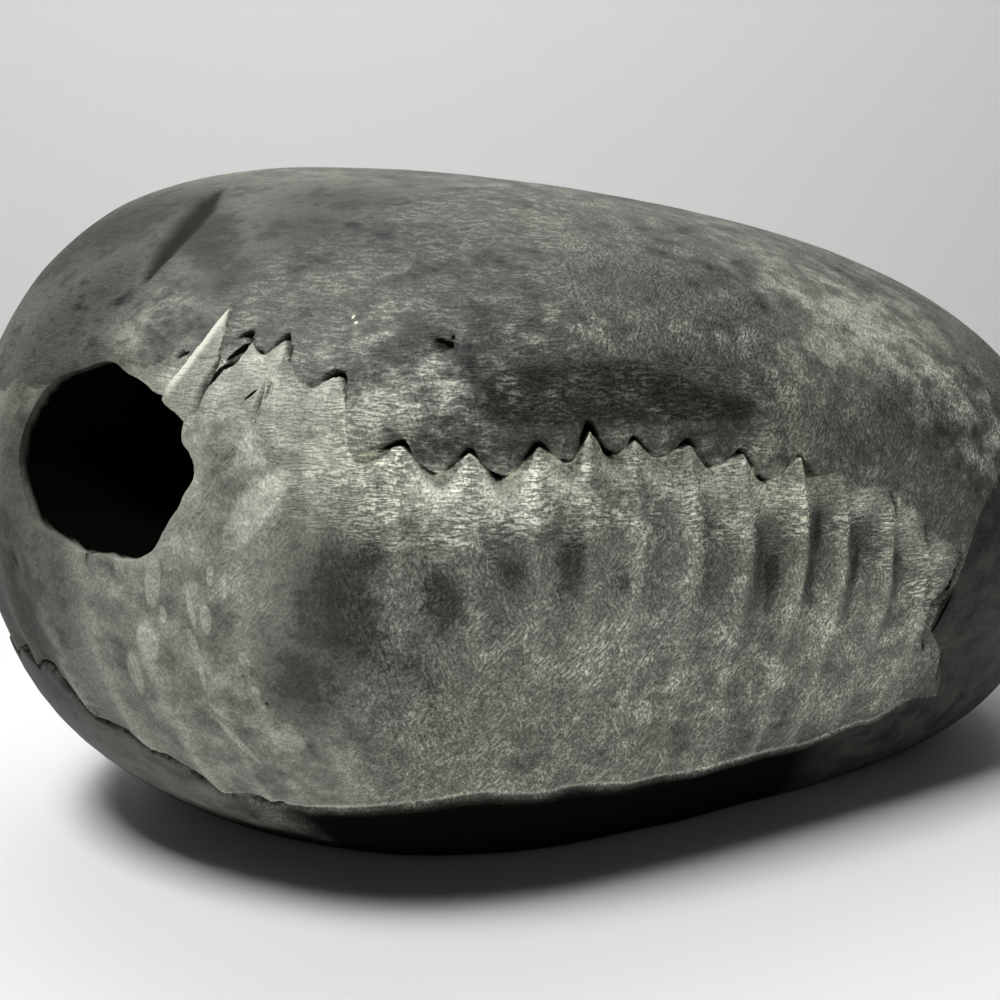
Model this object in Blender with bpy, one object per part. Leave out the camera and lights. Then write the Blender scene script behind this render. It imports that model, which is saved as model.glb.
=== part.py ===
"""Fossil ammonite: a river-worn stone with one ribbed whorl showing as a band round its girdle.

The stone lies on its side, so the coil axis is +Z. The band runs round the front, the left end
and the back, between two jagged sutures, under smooth caps of stone. The hollow living chamber
opens at the left end. Sizes are in millimetres and angles in degrees until the mesh is made.

A direction is an azimuth and an elevation from CENTRE. Azimuth 0 is -Y, azimuth 90 is +X.
"""
import math

import bmesh
import bpy
from mathutils import Vector

MM = 0.001

# The worn outside: flat-ish faces (azimuth, elevation, distance from CENTRE) blended together.
CENTRE = Vector((-0.65, -0.3, 24.0))
ROUNDING = 7.0
WORN_FACES = (
    (0, -5, 28.5), (30, 0, 44.0), (60, 0, 52.5), (90, 0, 53.0), (120, 0, 46.0), (150, 0, 36.0),
    (180, 0, 30.0), (-150, 0, 35.0), (-120, 0, 48.0), (-80, 0, 48.0), (-40, 0, 40.0),
    (0, 45, 31.5), (60, 35, 47.0), (120, 45, 36.0), (180, 45, 34.5), (-120, 45, 43.5),
    (-60, 45, 39.5), (27, 56, 26.0), (-36, 70, 27.0), (81, 82, 23.0),
    (0, -45, 33.5), (60, -35, 53.0), (120, -45, 42.0), (180, -45, 30.0), (-120, -40, 45.0),
    (-60, -45, 38.5), (0, -90, 27.5),
)

# The band's two ends, and the crests of the ribs that the front shows. The right end between the
# band's ends is smooth.
BAND_START = -253.0
BAND_END = 34.9
SMOOTH_END_COLUMNS = 24
COLUMNS_PER_RIB = 4
BACK_RIBS = 28
FRONT_CRESTS = (-62.3, -58.0, -52.4, -45.1, -39.1, -32.2, -26.6, -20.0, -12.9, -4.7, 5.2, 12.7,
                21.8, 28.5, 34.9)

# Middle lines of the upper and lower sutures: (azimuth, elevation).
UPPER_SUTURE = ((-253, -2), (-235, 3), (-210, 7), (-180, 9), (-150, 10), (-120, 11), (-95, 12),
                (-80, 14), (-70, 17.5), (-62.3, 20), (-56, 19.4), (-52, 16.5), (-48.5, 11.3),
                (-42, 10.4), (-36, 10.4), (-26.6, 12.5), (-20, 12.2), (-9, 10.2), (0.7, 8.1),
                (12.7, 5.4), (21.8, 2), (28.5, -3.5), (32, -9), (34.9, -17))
LOWER_SUTURE = ((-253, -8), (-235, -15), (-210, -21), (-180, -24), (-150, -22), (-120, -17),
                (-100, -13), (-85, -12.5), (-77, -19), (-66, -26.5), (-50, -27), (-42, -27.3),
                (-29, -30.9), (-16, -34), (-5, -35.3), (15, -34.5), (28.5, -31), (34.9, -27))

# Tooth height (crest to valley) along the upper and lower sutures: (azimuth, mm).
UPPER_TEETH = ((-253, 0), (-235, 0.7), (-180, 1.0), (-120, 1.2), (-62.3, 1.3), (-45, 1.4),
               (-26.6, 1.5), (-10, 1.2), (12.7, 0.9), (28.5, 0.6), (34.9, 0))
LOWER_TEETH = ((-253, 0), (-235, 0.5), (-180, 0.8), (-100, 1.2), (-70, 1.0), (-50, 0.5),
               (20, 0.4), (34.9, 0))

# Rib height: crest to groove, and how much of it is left in the middle of the band.
RIB_HEIGHT = ((-253, 0), (-235, 0.4), (-180, 0.5), (-120, 0.45), (-85, 0.3), (-62.3, 0.2),
              (-48, 0.3), (-36, 0.45), (-20, 0.5), (0, 0.6), (22, 0.6), (31, 0.35), (34.9, 0))
RIB_PERSISTENCE = ((-253, 0.6), (-120, 0.6), (-62.3, 0.4), (-40, 0.2), (-15, 0.5), (5, 0.9),
                   (34.9, 0.9))
RIB_FADE_LENGTH = 5.0

# Rings of the mesh: the part of the way from a suture to the pole or the foot, and which columns
# they keep (2 is every second column).
CAP_RINGS = ((0.9, 8), (0.77, 4), (0.66, 4), (0.56, 4), (0.47, 2), (0.38, 2), (0.29, 2), (0.2, 2),
             (0.1, 2))
BASE_RINGS = ((0.2, 2), (0.42, 2), (0.62, 2), (0.78, 2), (0.9, 2), (1.0, 2))

# The open seam along each suture, and the sunken strip of band beside it.
SEAM_WIDTH = 0.5
SEAM_DEPTH = 0.75
BAND_RECESS = 0.4
RECESS_LENGTH = 1.8
FULL_BAND_WIDTH = 8.0

# The living chamber: outline radii every 30 degrees, seen looking in, and its bent axis.
MOUTH_CENTRE = Vector((-39.05, -13.3, 29.4))
MOUTH_RADII = (6.3, 5.6, 4.9, 5.3, 6.4, 7.2, 7.6, 7.0, 5.5, 5.2, 6.0, 5.8)
CHAMBER_SIDES = 36
CHAMBER_START = 5.0
CHAMBER_DEPTH = 27.0
CHAMBER_RINGS = 11
CHAMBER_TAPER = 0.25
AXIS_AT_MOUTH = (-72.0, 6.0)
AXIS_AT_END = (-108.0, 6.0)

# Marks on the cap: (azimuth, elevation), half sizes along, across and into the surface.
GROOVE_ENDS = ((-78.5, 25.1), (-95.6, 40.5))
GROOVE_HALF_WIDTH = 0.9
GROOVE_DEPTH = 0.7
PIT_PLACE = (-42.4, 22.4)
PIT_HALF_SIZES = (0.95, 0.6, 0.9)
CHIP_ENDS = ((-65.6, 11.8), (-66.8, 23.6))
CHIP_HALF_WIDTH = 1.0
CHIP_DEPTH = 0.5

STONE_COLOUR = (0.19, 0.19, 0.165, 1.0)
STONE_ROUGHNESS = 0.5


def facing(azimuth, elevation):
    """The unit direction at an azimuth and an elevation."""
    a = math.radians(azimuth)
    e = math.radians(elevation)
    return Vector((math.sin(a) * math.cos(e), -math.cos(a) * math.cos(e), math.sin(e)))


FACE_NORMALS = [(facing(az, el), distance) for az, el, distance in WORN_FACES]


def worn_radius(direction):
    """The distance from CENTRE to the worn surface along a direction."""
    total = 0.0
    for normal, distance in FACE_NORMALS:
        total += max(0.0, direction.dot(normal) / distance) ** ROUNDING
    return total ** (-1.0 / ROUNDING)


def along(knots, azimuth):
    """A smooth value between (azimuth, value) knots."""
    if azimuth <= knots[0][0]:
        return knots[0][1]
    for (a0, v0), (a1, v1) in zip(knots, knots[1:]):
        if azimuth <= a1:
            t = (azimuth - a0) / (a1 - a0)
            return v0 + (v1 - v0) * t * t * (3 - 2 * t)
    return knots[-1][1]


def girdle_azimuths(start, end, count):
    """Azimuths from start to end at equal steps of length round the girdle."""
    samples = 600
    azimuths = [start + (end - start) * i / samples for i in range(samples + 1)]
    points = [facing(a, 0) * worn_radius(facing(a, 0)) for a in azimuths]
    lengths = [0.0]
    for p, q in zip(points, points[1:]):
        lengths.append(lengths[-1] + (q - p).length)
    result = []
    k = 0
    for i in range(count + 1):
        wanted = lengths[-1] * i / count
        while k < samples - 1 and lengths[k + 1] < wanted:
            k += 1
        t = (wanted - lengths[k]) / (lengths[k + 1] - lengths[k])
        result.append(azimuths[k] + t * (azimuths[k + 1] - azimuths[k]))
    return result


def columns():
    """Each column of the mesh as (azimuth, phase), where phase 0 is a rib crest and 0.5 a groove."""
    crests = girdle_azimuths(BAND_START, FRONT_CRESTS[0], BACK_RIBS) + list(FRONT_CRESTS[1:])
    result = []
    for a0, a1 in zip(crests, crests[1:]):
        for k in range(COLUMNS_PER_RIB):
            t = k / COLUMNS_PER_RIB
            result.append((a0 + (a1 - a0) * t, t))
    span = BAND_START + 360 - BAND_END
    for k in range(SMOOTH_END_COLUMNS):
        result.append((BAND_END + span * k / SMOOTH_END_COLUMNS, 0.5))
    return result


def on_band(azimuth):
    """The azimuth as the band's knots measure it: past the band's end it holds the nearer end."""
    if azimuth <= BAND_END:
        return azimuth
    middle = (BAND_END + BAND_START + 360) / 2
    return BAND_END if azimuth < middle else BAND_START


def suture_lines(azimuth, phase):
    """Elevations of the upper and lower sutures in one column, with their teeth, and the middles."""
    a = on_band(azimuth)
    upper = along(UPPER_SUTURE, a)
    lower = along(LOWER_SUTURE, a)
    if azimuth > BAND_END:
        t = (azimuth - BAND_END) / (BAND_START + 360 - BAND_END)
        t = t * t * (3 - 2 * t)
        upper = UPPER_SUTURE[-1][1] + (UPPER_SUTURE[0][1] - UPPER_SUTURE[-1][1]) * t
        lower = LOWER_SUTURE[-1][1] + (LOWER_SUTURE[0][1] - LOWER_SUTURE[-1][1]) * t
    tooth = 0.5 - abs(math.sin(math.pi * phase)) ** 0.75
    per_degree = math.radians(worn_radius(facing(azimuth, upper)))
    top = upper + along(UPPER_TEETH, a) * tooth / per_degree
    bottom = lower - along(LOWER_TEETH, a) * tooth / per_degree
    return top, bottom, upper, lower


def foot_elevation(azimuth, start):
    """The elevation at which the worn surface comes down to the ground."""
    high = start
    low = -89.0
    for _ in range(40):
        middle = (high + low) / 2
        direction = facing(azimuth, middle)
        if CENTRE.z + direction.z * worn_radius(direction) > 0:
            high = middle
        else:
            low = middle
    return (high + low) / 2


def surface_point(azimuth, elevation, sink=0.0):
    """A point of the worn surface, sunk by some millimetres towards CENTRE, in metres."""
    direction = facing(azimuth, elevation)
    reach = worn_radius(direction)
    if direction.z < 0:
        reach = min(reach, -CENTRE.z / direction.z)
    return (CENTRE + direction * (reach - sink)) * MM


def band_rings(azimuth, phase):
    """The rings that one column crosses near the band, as (elevation, sink), from the top down."""
    top, bottom, _, _ = suture_lines(azimuth, phase)
    a = on_band(azimuth)
    per_degree = math.radians(worn_radius(facing(azimuth, (top + bottom) / 2)))
    width = (top - bottom) * per_degree
    scale = min(1.0, width / FULL_BAND_WIDTH)
    open_seam = 0.0 if azimuth > BAND_END else min(1.0, width / FULL_BAND_WIDTH)
    valley = (1 - math.cos(2 * math.pi * phase)) / 2
    rib = along(RIB_HEIGHT, a)
    kept = along(RIB_PERSISTENCE, a)

    def sink_at(depth):
        near = min(depth, width - depth)
        recess = BAND_RECESS * valley * math.exp(-near / RECESS_LENGTH)
        fade = kept + (1 - kept) * math.exp(-near / RIB_FADE_LENGTH)
        return open_seam * (recess + rib * fade * valley ** 1.3)

    near_suture = [SEAM_WIDTH * scale, 1.5 * scale, 3.2 * scale]
    middle = [width * f for f in (0.3, 0.5, 0.7)]
    rings = [(top + 0.9 * scale / per_degree, 0.0), (top, 0.0)]
    rings.append((top - 0.45 * SEAM_WIDTH * scale / per_degree, SEAM_DEPTH * open_seam))
    depths = near_suture + middle + [width - d for d in (2.4 * scale, SEAM_WIDTH * scale)]
    for depth in sorted(depths):
        rings.append((top - depth / per_degree, sink_at(depth)))
    rings.append((bottom + 0.45 * SEAM_WIDTH * scale / per_degree, SEAM_DEPTH * open_seam))
    rings.append((bottom, 0.0))
    rings.append((bottom - 0.9 * scale / per_degree, 0.0))
    return rings


def join_rings(mesh, upper, lower):
    """Faces between two closed rings, where the counts are equal or one is twice the other."""
    n = len(upper)
    m = len(lower)
    for i in range(max(n, m)):
        if n == m:
            j = (i + 1) % n
            mesh.faces.new((upper[i], lower[i], lower[j], upper[j]))
        elif n < m and i % 2 == 0:
            k = i // 2
            a, b, c = lower[i], lower[i + 1], lower[(i + 2) % m]
            mesh.faces.new((upper[k], a, b))
            mesh.faces.new((upper[k], b, upper[(k + 1) % n]))
            mesh.faces.new((upper[(k + 1) % n], b, c))
        elif n > m and i % 2 == 0:
            k = i // 2
            a, b, c = upper[i], upper[i + 1], upper[(i + 2) % n]
            mesh.faces.new((a, lower[k], b))
            mesh.faces.new((b, lower[k], lower[(k + 1) % m]))
            mesh.faces.new((b, lower[(k + 1) % m], c))


def fan(mesh, ring, tip, upward):
    """Faces from a closed ring to one point above it or below it."""
    for i in range(len(ring)):
        a, b = ring[i], ring[(i + 1) % len(ring)]
        mesh.faces.new((tip, a, b) if upward else (tip, b, a))


def stone_mesh():
    """The worn stone with its sutures and ribs, before the chamber and the marks are cut."""
    mesh = bmesh.new()
    all_columns = columns()
    middles = [suture_lines(az, phase)[2:] for az, phase in all_columns]
    rings = []

    def ring(step, elevation_of):
        verts = []
        for i in range(0, len(all_columns), step):
            azimuth = all_columns[i][0]
            verts.append(mesh.verts.new(surface_point(azimuth, elevation_of(i))))
        rings.append(verts)

    for fraction, step in CAP_RINGS:
        ring(step, lambda i: middles[i][0] + (90 - middles[i][0]) * fraction)
    crossings = [band_rings(az, phase) for az, phase in all_columns]
    for level in range(len(crossings[0])):
        verts = []
        for (azimuth, _), crossing in zip(all_columns, crossings):
            elevation, sink = crossing[level]
            verts.append(mesh.verts.new(surface_point(azimuth, elevation, sink)))
        rings.append(verts)
    feet = [foot_elevation(az, middles[i][1]) for i, (az, _) in enumerate(all_columns)]
    for fraction, step in BASE_RINGS:
        ring(step, lambda i: middles[i][1] + (feet[i] - middles[i][1]) * fraction)
    ring(4, lambda i: -90 + (feet[i] + 90) * 0.5)
    for upper, lower in zip(rings, rings[1:]):
        join_rings(mesh, upper, lower)
    fan(mesh, rings[0], mesh.verts.new(surface_point(0, 90)), True)
    fan(mesh, rings[-1], mesh.verts.new(surface_point(0, -90)), False)
    bmesh.ops.triangulate(mesh, faces=mesh.faces[:])
    return mesh


def chamber_mesh():
    """The space of the living chamber: a bent tube that narrows to a rounded end."""
    mesh = bmesh.new()
    knots = MOUTH_RADII
    rings = []
    centre = MOUTH_CENTRE + facing(*AXIS_AT_MOUTH) * CHAMBER_START
    length = CHAMBER_START + CHAMBER_DEPTH
    done = 0.0
    for level in range(CHAMBER_RINGS):
        s = level / (CHAMBER_RINGS - 1)
        reach = length * (1 - (1 - s) ** 1.25)
        inside = max(0.0, (reach - CHAMBER_START) / CHAMBER_DEPTH)
        azimuth = AXIS_AT_MOUTH[0] + (AXIS_AT_END[0] - AXIS_AT_MOUTH[0]) * inside
        outward = facing(azimuth, AXIS_AT_MOUTH[1])
        centre = centre - outward * (reach - done)
        done = reach
        across = Vector((0, 0, 1)).cross(outward).normalized()
        up = outward.cross(across)
        size = (1 - CHAMBER_TAPER * inside) * math.sqrt(max(0.0, 1 - (0.93 * inside) ** 6))
        verts = []
        for k in range(CHAMBER_SIDES):
            angle = 2 * math.pi * k / CHAMBER_SIDES
            place = angle / (2 * math.pi) * len(knots)
            i = int(place)
            t = place - i
            t = t * t * (3 - 2 * t)
            r = knots[i % len(knots)] * (1 - t) + knots[(i + 1) % len(knots)] * t
            r = size * (r + (6.0 - r) * inside)
            offset = across * (r * math.cos(angle)) + up * (r * math.sin(angle))
            verts.append(mesh.verts.new((centre + offset) * MM))
        rings.append(verts)
    for near, far in zip(rings, rings[1:]):
        join_rings(mesh, near, far)
    mesh.faces.new(rings[0])
    mesh.faces.new(rings[-1])
    bmesh.ops.recalc_face_normals(mesh, faces=mesh.faces[:])
    return mesh


def new_object(name, mesh):
    """A named object made from a bmesh and linked to the scene."""
    data = bpy.data.meshes.new(name)
    mesh.to_mesh(data)
    mesh.free()
    thing = bpy.data.objects.new(name, data)
    bpy.context.scene.collection.objects.link(thing)
    return thing


def mark_cutter(name, start, end, half_width, depth):
    """A spindle-shaped cutter laid along the surface between two (azimuth, elevation) places."""
    p = surface_point(*start) / MM
    q = surface_point(*end) / MM
    middle = facing((start[0] + end[0]) / 2, (start[1] + end[1]) / 2)
    centre = surface_point((start[0] + end[0]) / 2, (start[1] + end[1]) / 2) / MM
    lengthways = (q - p).normalized()
    outward = (middle - lengthways * middle.dot(lengthways)).normalized()
    sideways = outward.cross(lengthways)
    bow = (centre - (p + q) / 2).dot(outward)
    mesh = bmesh.new()
    bmesh.ops.create_uvsphere(mesh, u_segments=12, v_segments=10, radius=1.0)
    for vert in mesh.verts:
        x, y, z = vert.co
        bend = bow * (1 - z * z)
        place = (p + q) / 2 + lengthways * z * (q - p).length / 2 + outward * (bend + depth * x)
        vert.co = (place + sideways * y * half_width) * MM
    bmesh.ops.recalc_face_normals(mesh, faces=mesh.faces[:])
    return new_object(name, mesh)


def pit_cutter():
    """A small rounded pit in the cap."""
    along_half, across_half, depth = PIT_HALF_SIZES
    outward = facing(*PIT_PLACE)
    across = Vector((0, 0, 1)).cross(outward).normalized()
    up = outward.cross(across)
    centre = surface_point(*PIT_PLACE) / MM
    mesh = bmesh.new()
    bmesh.ops.create_icosphere(mesh, subdivisions=2, radius=1.0)
    for vert in mesh.verts:
        x, y, z = vert.co
        vert.co = (centre + across * x * along_half + up * y * across_half + outward * z * depth) * MM
    return new_object("pit_cutter", mesh)


def cut(thing, cutter):
    """Take a cutter's space out of an object with a live Boolean."""
    cutter.hide_render = True
    cutter.display_type = "WIRE"
    modifier = thing.modifiers.new(cutter.name, "BOOLEAN")
    modifier.operation = "DIFFERENCE"
    modifier.object = cutter


def stone_material():
    """Dark grey satin stone."""
    material = bpy.data.materials.new("worn_stone")
    material.use_nodes = True
    shader = material.node_tree.nodes["Principled BSDF"]
    shader.inputs["Base Color"].default_value = STONE_COLOUR
    shader.inputs["Roughness"].default_value = STONE_ROUGHNESS
    shader.inputs["Metallic"].default_value = 0.0
    return material


def build():
    """The whole fossil: one stone, with its chamber and marks cut out of it."""
    for thing in list(bpy.data.objects):
        bpy.data.objects.remove(thing, do_unlink=True)
    stone = new_object("ammonite_nodule", stone_mesh())
    stone.data.materials.append(stone_material())
    cut(stone, new_object("chamber_cutter", chamber_mesh()))
    cut(stone, mark_cutter("groove_cutter", *GROOVE_ENDS, GROOVE_HALF_WIDTH, GROOVE_DEPTH))
    cut(stone, mark_cutter("chip_cutter", *CHIP_ENDS, CHIP_HALF_WIDTH, CHIP_DEPTH))
    cut(stone, pit_cutter())


build()
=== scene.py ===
import math
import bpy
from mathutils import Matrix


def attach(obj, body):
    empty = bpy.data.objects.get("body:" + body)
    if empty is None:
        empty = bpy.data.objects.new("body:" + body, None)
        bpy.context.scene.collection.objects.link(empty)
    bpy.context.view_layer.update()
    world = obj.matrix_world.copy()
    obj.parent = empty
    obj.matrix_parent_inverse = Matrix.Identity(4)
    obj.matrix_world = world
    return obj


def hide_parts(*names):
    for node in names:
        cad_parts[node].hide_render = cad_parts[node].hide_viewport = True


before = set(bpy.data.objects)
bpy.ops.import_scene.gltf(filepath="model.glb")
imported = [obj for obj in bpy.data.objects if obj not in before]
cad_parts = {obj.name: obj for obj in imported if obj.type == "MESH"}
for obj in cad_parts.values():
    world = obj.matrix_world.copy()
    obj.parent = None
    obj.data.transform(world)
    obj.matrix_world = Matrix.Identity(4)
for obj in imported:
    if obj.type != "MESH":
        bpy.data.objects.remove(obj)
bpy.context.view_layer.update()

from types import SimpleNamespace

import bpy
import numpy as np
from mathutils import Vector, noise
from mathutils.kdtree import KDTree

MM = 0.001
# A distance in mm that is past every reach
FAR = 1e3
NODE = "ammonite_nodule"

# The worn outside of the stone, in mm and degrees, as the solid has it
CENTRE = np.array((-0.65, -0.3, 24.0))
ROUNDING = 7.0
WORN_FACES = (
    (0, -5, 28.5), (30, 0, 44.0), (60, 0, 52.5), (90, 0, 53.0), (120, 0, 46.0), (150, 0, 36.0),
    (180, 0, 30.0), (-150, 0, 35.0), (-120, 0, 48.0), (-80, 0, 48.0), (-40, 0, 40.0),
    (0, 45, 31.5), (60, 35, 47.0), (120, 45, 36.0), (180, 45, 34.5), (-120, 45, 43.5),
    (-60, 45, 39.5), (27, 56, 26.0), (-36, 70, 27.0), (81, 82, 23.0),
    (0, -45, 33.5), (60, -35, 53.0), (120, -45, 42.0), (180, -45, 30.0), (-120, -40, 45.0),
    (-60, -45, 38.5), (0, -90, 27.5),
)

# Azimuths run from one to the other of these round the stone
FIRST_AZIMUTH = -260.0
LAST_AZIMUTH = 100.0

# The ribbed band: it ends at the smooth right end of the stone
BAND_START = -253.0
BAND_END = 34.9
BACK_RIBS = 28
# Teeth of the upper suture on the front: azimuth and elevation of the crest, azimuth and elevation
# of the valley after it, open gap at the crest and in the valley in mm, and steepness
FRONT_TEETH = (
    (-62.3, 21.2, -59.9, 19.4, 0.22, 0.12, 1.10),
    (-58.2, 21.5, -53.9, 16.7, 0.22, 0.00, 0.90),
    (-52.2, 18.2, -49.3, 10.8, 0.40, 0.00, 4.00),
    (-45.2, 12.3, -42.3, 9.5, 0.38, 0.26, 1.30),
    (-39.0, 11.8, -36.1, 9.2, 0.30, 0.42, 1.35),
    (-32.2, 12.7, -28.8, 10.9, 0.36, 0.14, 1.35),
    (-26.5, 15.0, -23.3, 11.7, 0.52, 0.36, 1.30),
    (-20.8, 13.5, -17.2, 11.3, 0.28, 0.08, 1.35),
    (-13.2, 13.0, -9.0, 9.6, 0.30, 0.20, 1.35),
    (-4.9, 11.5, 0.4, 7.0, 0.36, 0.18, 1.35),
    (5.0, 9.9, 9.0, 6.6, 0.20, 0.04, 1.35),
    (12.7, 6.8, 17.0, 4.0, 0.03, 0.00, 1.20),
    (21.4, 4.0, 25.0, 0.4, 0.00, 0.00, 1.40),
    (28.3, -2.4, 31.5, -4.8, 0.00, 0.00, 1.40),
)
FRONT_END = (34.9, -6.8)
# Middle lines of the sutures: (azimuth, elevation)
UPPER_SUTURE = ((-253, -2), (-235, 3), (-210, 7), (-180, 9), (-150, 10), (-120, 11), (-95, 12),
                (-80, 14), (-70, 17.5), (-62.3, 20))
LOWER_SUTURE = ((-253, -8), (-235, -15), (-210, -21), (-180, -24), (-150, -22), (-120, -17),
                (-100, -13), (-85, -12.5), (-77, -19), (-66, -26.5), (-50, -27), (-42, -27.3),
                (-29, -30.9), (-16, -34), (-5, -35.3), (15, -34.5), (28.5, -31), (34.9, -27))
# How far the teeth rise over the middle lines on the back, in degrees
UPPER_TEETH = ((-253, 0), (-235, 0.7), (-180, 1.0), (-120, 1.2), (-62.3, 1.3))
LOWER_TEETH = ((-253, 0), (-235, 0.5), (-180, 0.8), (-100, 1.2), (-70, 1.0), (-58, 0.25),
               (-50, 0.08), (20, 0.08), (34.9, 0))
# The widest gap in mm along the lower suture
LOWER_GAP = ((-253, 0.1), (-110, 0.16), (-90, 0.24), (-66, 0.2), (-56, 0.06), (34.9, 0.05))
# Relief of the ribs in mm, how much of it stays in the middle of the band, and how far the
# grooves lie over towards the crest on their left
RIB_HEIGHT = ((-253, 0), (-235, 0.4), (-180, 0.5), (-120, 0.45), (-85, 0.3), (-62.3, 0.14),
              (-50, 0.14), (-45, 0.55), (-36, 0.65), (-20, 0.45), (0, 0.55), (22, 0.55), (31, 0.4),
              (34.9, 0))
RIB_PERSISTENCE = ((-253, 0.6), (-120, 0.6), (-62.3, 0.4), (-40, 0.15), (-15, 0.45), (5, 0.85),
                   (34.9, 0.9))
RIB_LEAN = ((-253, 0.0), (-48, 0.0), (-25, 0.1), (-5, 0.25), (34.9, 0.35))
RIB_FADE_LENGTH = 4.0
# How far the valleys at the upper suture and the whole band are set back, in mm
BAND_RECESS = 0.38
RECESS_LENGTH = 1.3
LEAST_RECESS = 0.06
# How far the ribs of the right side bulge, in degrees, and the height in mm over which they do
RIB_BULGE = 1.7
RIB_BULGE_HEIGHT = 13.0
# The worn lips outside the sutures: depth and length in mm
UPPER_LIP = (0.10, 0.22)
LOWER_LIP = (0.08, 0.25)
# How pale the valleys are at the upper suture, pale polish with a painted highlight, and how far down the
# underside's painted shade turns black, in mm
VALLEY_PALENESS = ((-120, 0.4), (-62, 0.2), (-47, 0.3), (-44, 1.0), (-32, 1.0), (-27, 0.6),
                   (34.9, 0.4))
BLACK_SHIFT = ((-120, 1.0), (-100, 2.2), (-85, 2.0), (-70, 1.3), (-60, 0.3), (34.9, 0.1))
# How far from a line in mm the distance to it is measured
UPPER_REACH = 6.0
LOWER_REACH = 5.0
CRACK_REACH = 1.5
GROOVE_REACH = 3.0
# Distances to a suture in mm past which it is measured straight up or down the surface
UPPER_FAR = 5.5
LOWER_FAR = 4.5
# Noise over the stone: wavelength in mm, seed and octaves
RAGGED_NOISE = (0.9, 1, 3)
LUMP_NOISE = (3.2, 2, 3)
SWELL_NOISE = (9.0, 3, 2)
FINE_NOISE = (1.6, 4, 3)
CLOUD_NOISE = (10.0, 5, 4)
WARP_NOISE = (1.7, 8, 2)
PATCH_NOISE = (2.6, 9, 3)

# Half the width of a crack's slanting edge in mm, and the cracks that leave the sutures: half
# width in mm, depth in mm, points as azimuth and elevation
CRACK_WALL = 0.07
CRACKS = (
    (0.22, 0.7, ((-62.1, 21.3), (-61.9, 20.2))),
    (0.14, 0.6, ((-61.9, 20.2), (-62.1, 18.6), (-62.7, 17.4))),
    (0.26, 1.0, ((-63.9, 18.2), (-64.0, 16.6), (-64.1, 14.8), (-64.3, 13.4))),
    (0.13, 0.5, ((-58.4, 14.6), (-57.9, 15.5), (-57.4, 16.3))),
    (0.09, 0.3, ((-57.3, 20.3), (-56.9, 18.8))),
    (0.12, 0.6, ((35.1, -6.8), (34.6, -9.0), (34.2, -11.0))),
    (0.20, 0.9, ((34.2, -11.0), (32.9, -13.6), (32.0, -16.5))),
    (0.10, 0.5, ((32.0, -16.5), (32.3, -18.4), (33.4, -19.5))),
    (0.10, 0.5, ((36.6, -20.2), (37.2, -22.0), (38.0, -24.2))),
    (0.13, 0.5, ((21.3, 3.0), (22.6, 1.2), (23.4, -1.0))),
    (0.10, 0.4, ((28.0, -2.4), (28.9, -5.0))),
    (0.08, 0.3, ((-73.5, 0.1), (-70.2, -1.1), (-68.6, -1.5))),
    (0.10, 0.35, ((-68.3, 17.7), (-68.0, 18.5))),
)
# The pale flake at the chamber's rim, its outline as (azimuth, elevation), and how far the
# stone round it lies lower in mm
FLAKE = ((-66.6, 23.4), (-66.7, 19.7), (-67.3, 16.6), (-68.0, 14.2), (-66.6, 12.0), (-65.0, 11.5),
         (-64.5, 13.2), (-64.1, 15.8), (-64.1, 18.2), (-65.0, 21.1))
FLAKE_SURROUND_SINK = 0.28
# Pits and dents: azimuth, elevation, half sizes across and up in mm, depth in mm, and how
# steep their walls are
PIT_STEEPNESS = 1.6
PITS = (
    (-42.9, 22.5, 0.35, 0.3, 0.55), (-42, 22.2, 0.42, 0.26, 0.6), (-41.6, 23.2, 0.18, 0.15, 0.3),
    (-58.9, 17.2, 0.2, 0.35, 0.25), (24.3, -6.9, 0.2, 0.75, 0.5), (25.9, -7.6, 0.12, 0.25, 0.3),
    (-27.5, 5.5, 1.2, 0.9, 0.12),
)
# Small sharp marks, pale grains and black spots, most of the black ones painted shade inside pits and
# cracks: azimuth, elevation, half width and half height in mm, lean in degrees, and how deep in mm they
# reach
SPOT_DEPTH = 2.5
PALE_GRAINS = ((-52.7, 24.25, 0.08, 0.11, 0), (-52.1, 23.6, 0.11, 0.08, 0))
BLACK_HOLLOW_SHADE = (
    (-43, 22.5, 0.34, 0.17, 10), (-42.2, 22.2, 0.3, 0.2, 30), (-41.8, 23.1, 0.1, 0.14, 0),
    (-63.2, 16.5, 0.2, 1.15, 24), (-62.2, 19.2, 0.16, 0.95, 38), (-59.2, 15.2, 0.1, 0.5, 42),
    (-67.7, 18.1, 0.12, 0.3, 50), (24.3, -6.9, 0.16, 0.7, 0), (25.9, -7.8, 0.08, 0.2, 0),
    (-57.6, -12.6, 0.1, 0.14, 0), (34.6, -9.6, 0.07, 1.4, 10), (34, -15, 0.15, 1.5, 20),
    (32.6, -19.3, 0.07, 0.5, -20), (36, -21.6, 0.07, 0.9, 24),
)
PALE_OVALS = (
    (-61, -0.5, 0.22, 0.62, 4), (-59.9, -1.5, 0.27, 0.75, 0), (-65.9, -4.5, 0.22, 0.6, 4),
    (-63.1, -3.5, 0.2, 1.2, -5), (-61.8, -4.4, 0.32, 0.9, 4), (-63.4, -6.9, 0.26, 0.95, -12),
    (-63.3, -10, 0.2, 0.8, 4), (-68.1, -7.2, 0.8, 1.3, 10), (-56.8, -16.5, 1, 1.2, 0),
    (-58.5, -10.8, 0.24, 2.1, -14), (-58.8, -8.4, 0.36, 0.9, -6), (-61.8, -17.5, 0.26, 1.9, -28),
    (-56.9, 5.6, 0.95, 3, 36), (-66.4, -1.4, 0.5, 1.6, 12), (-70.6, -10.6, 0.5, 1.5, 8),
)
# The groove across the left shoulder, painted dark as the shade in it: points, half width and depth in mm
GROOVE = ((-97.0, 40.3), (-88.9, 35.9), (-84.6, 32.0), (-82.0, 28.7), (-79.6, 25.4))
GROOVE_HALF_WIDTH = 1.55
GROOVE_DEPTH = 0.32

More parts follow.
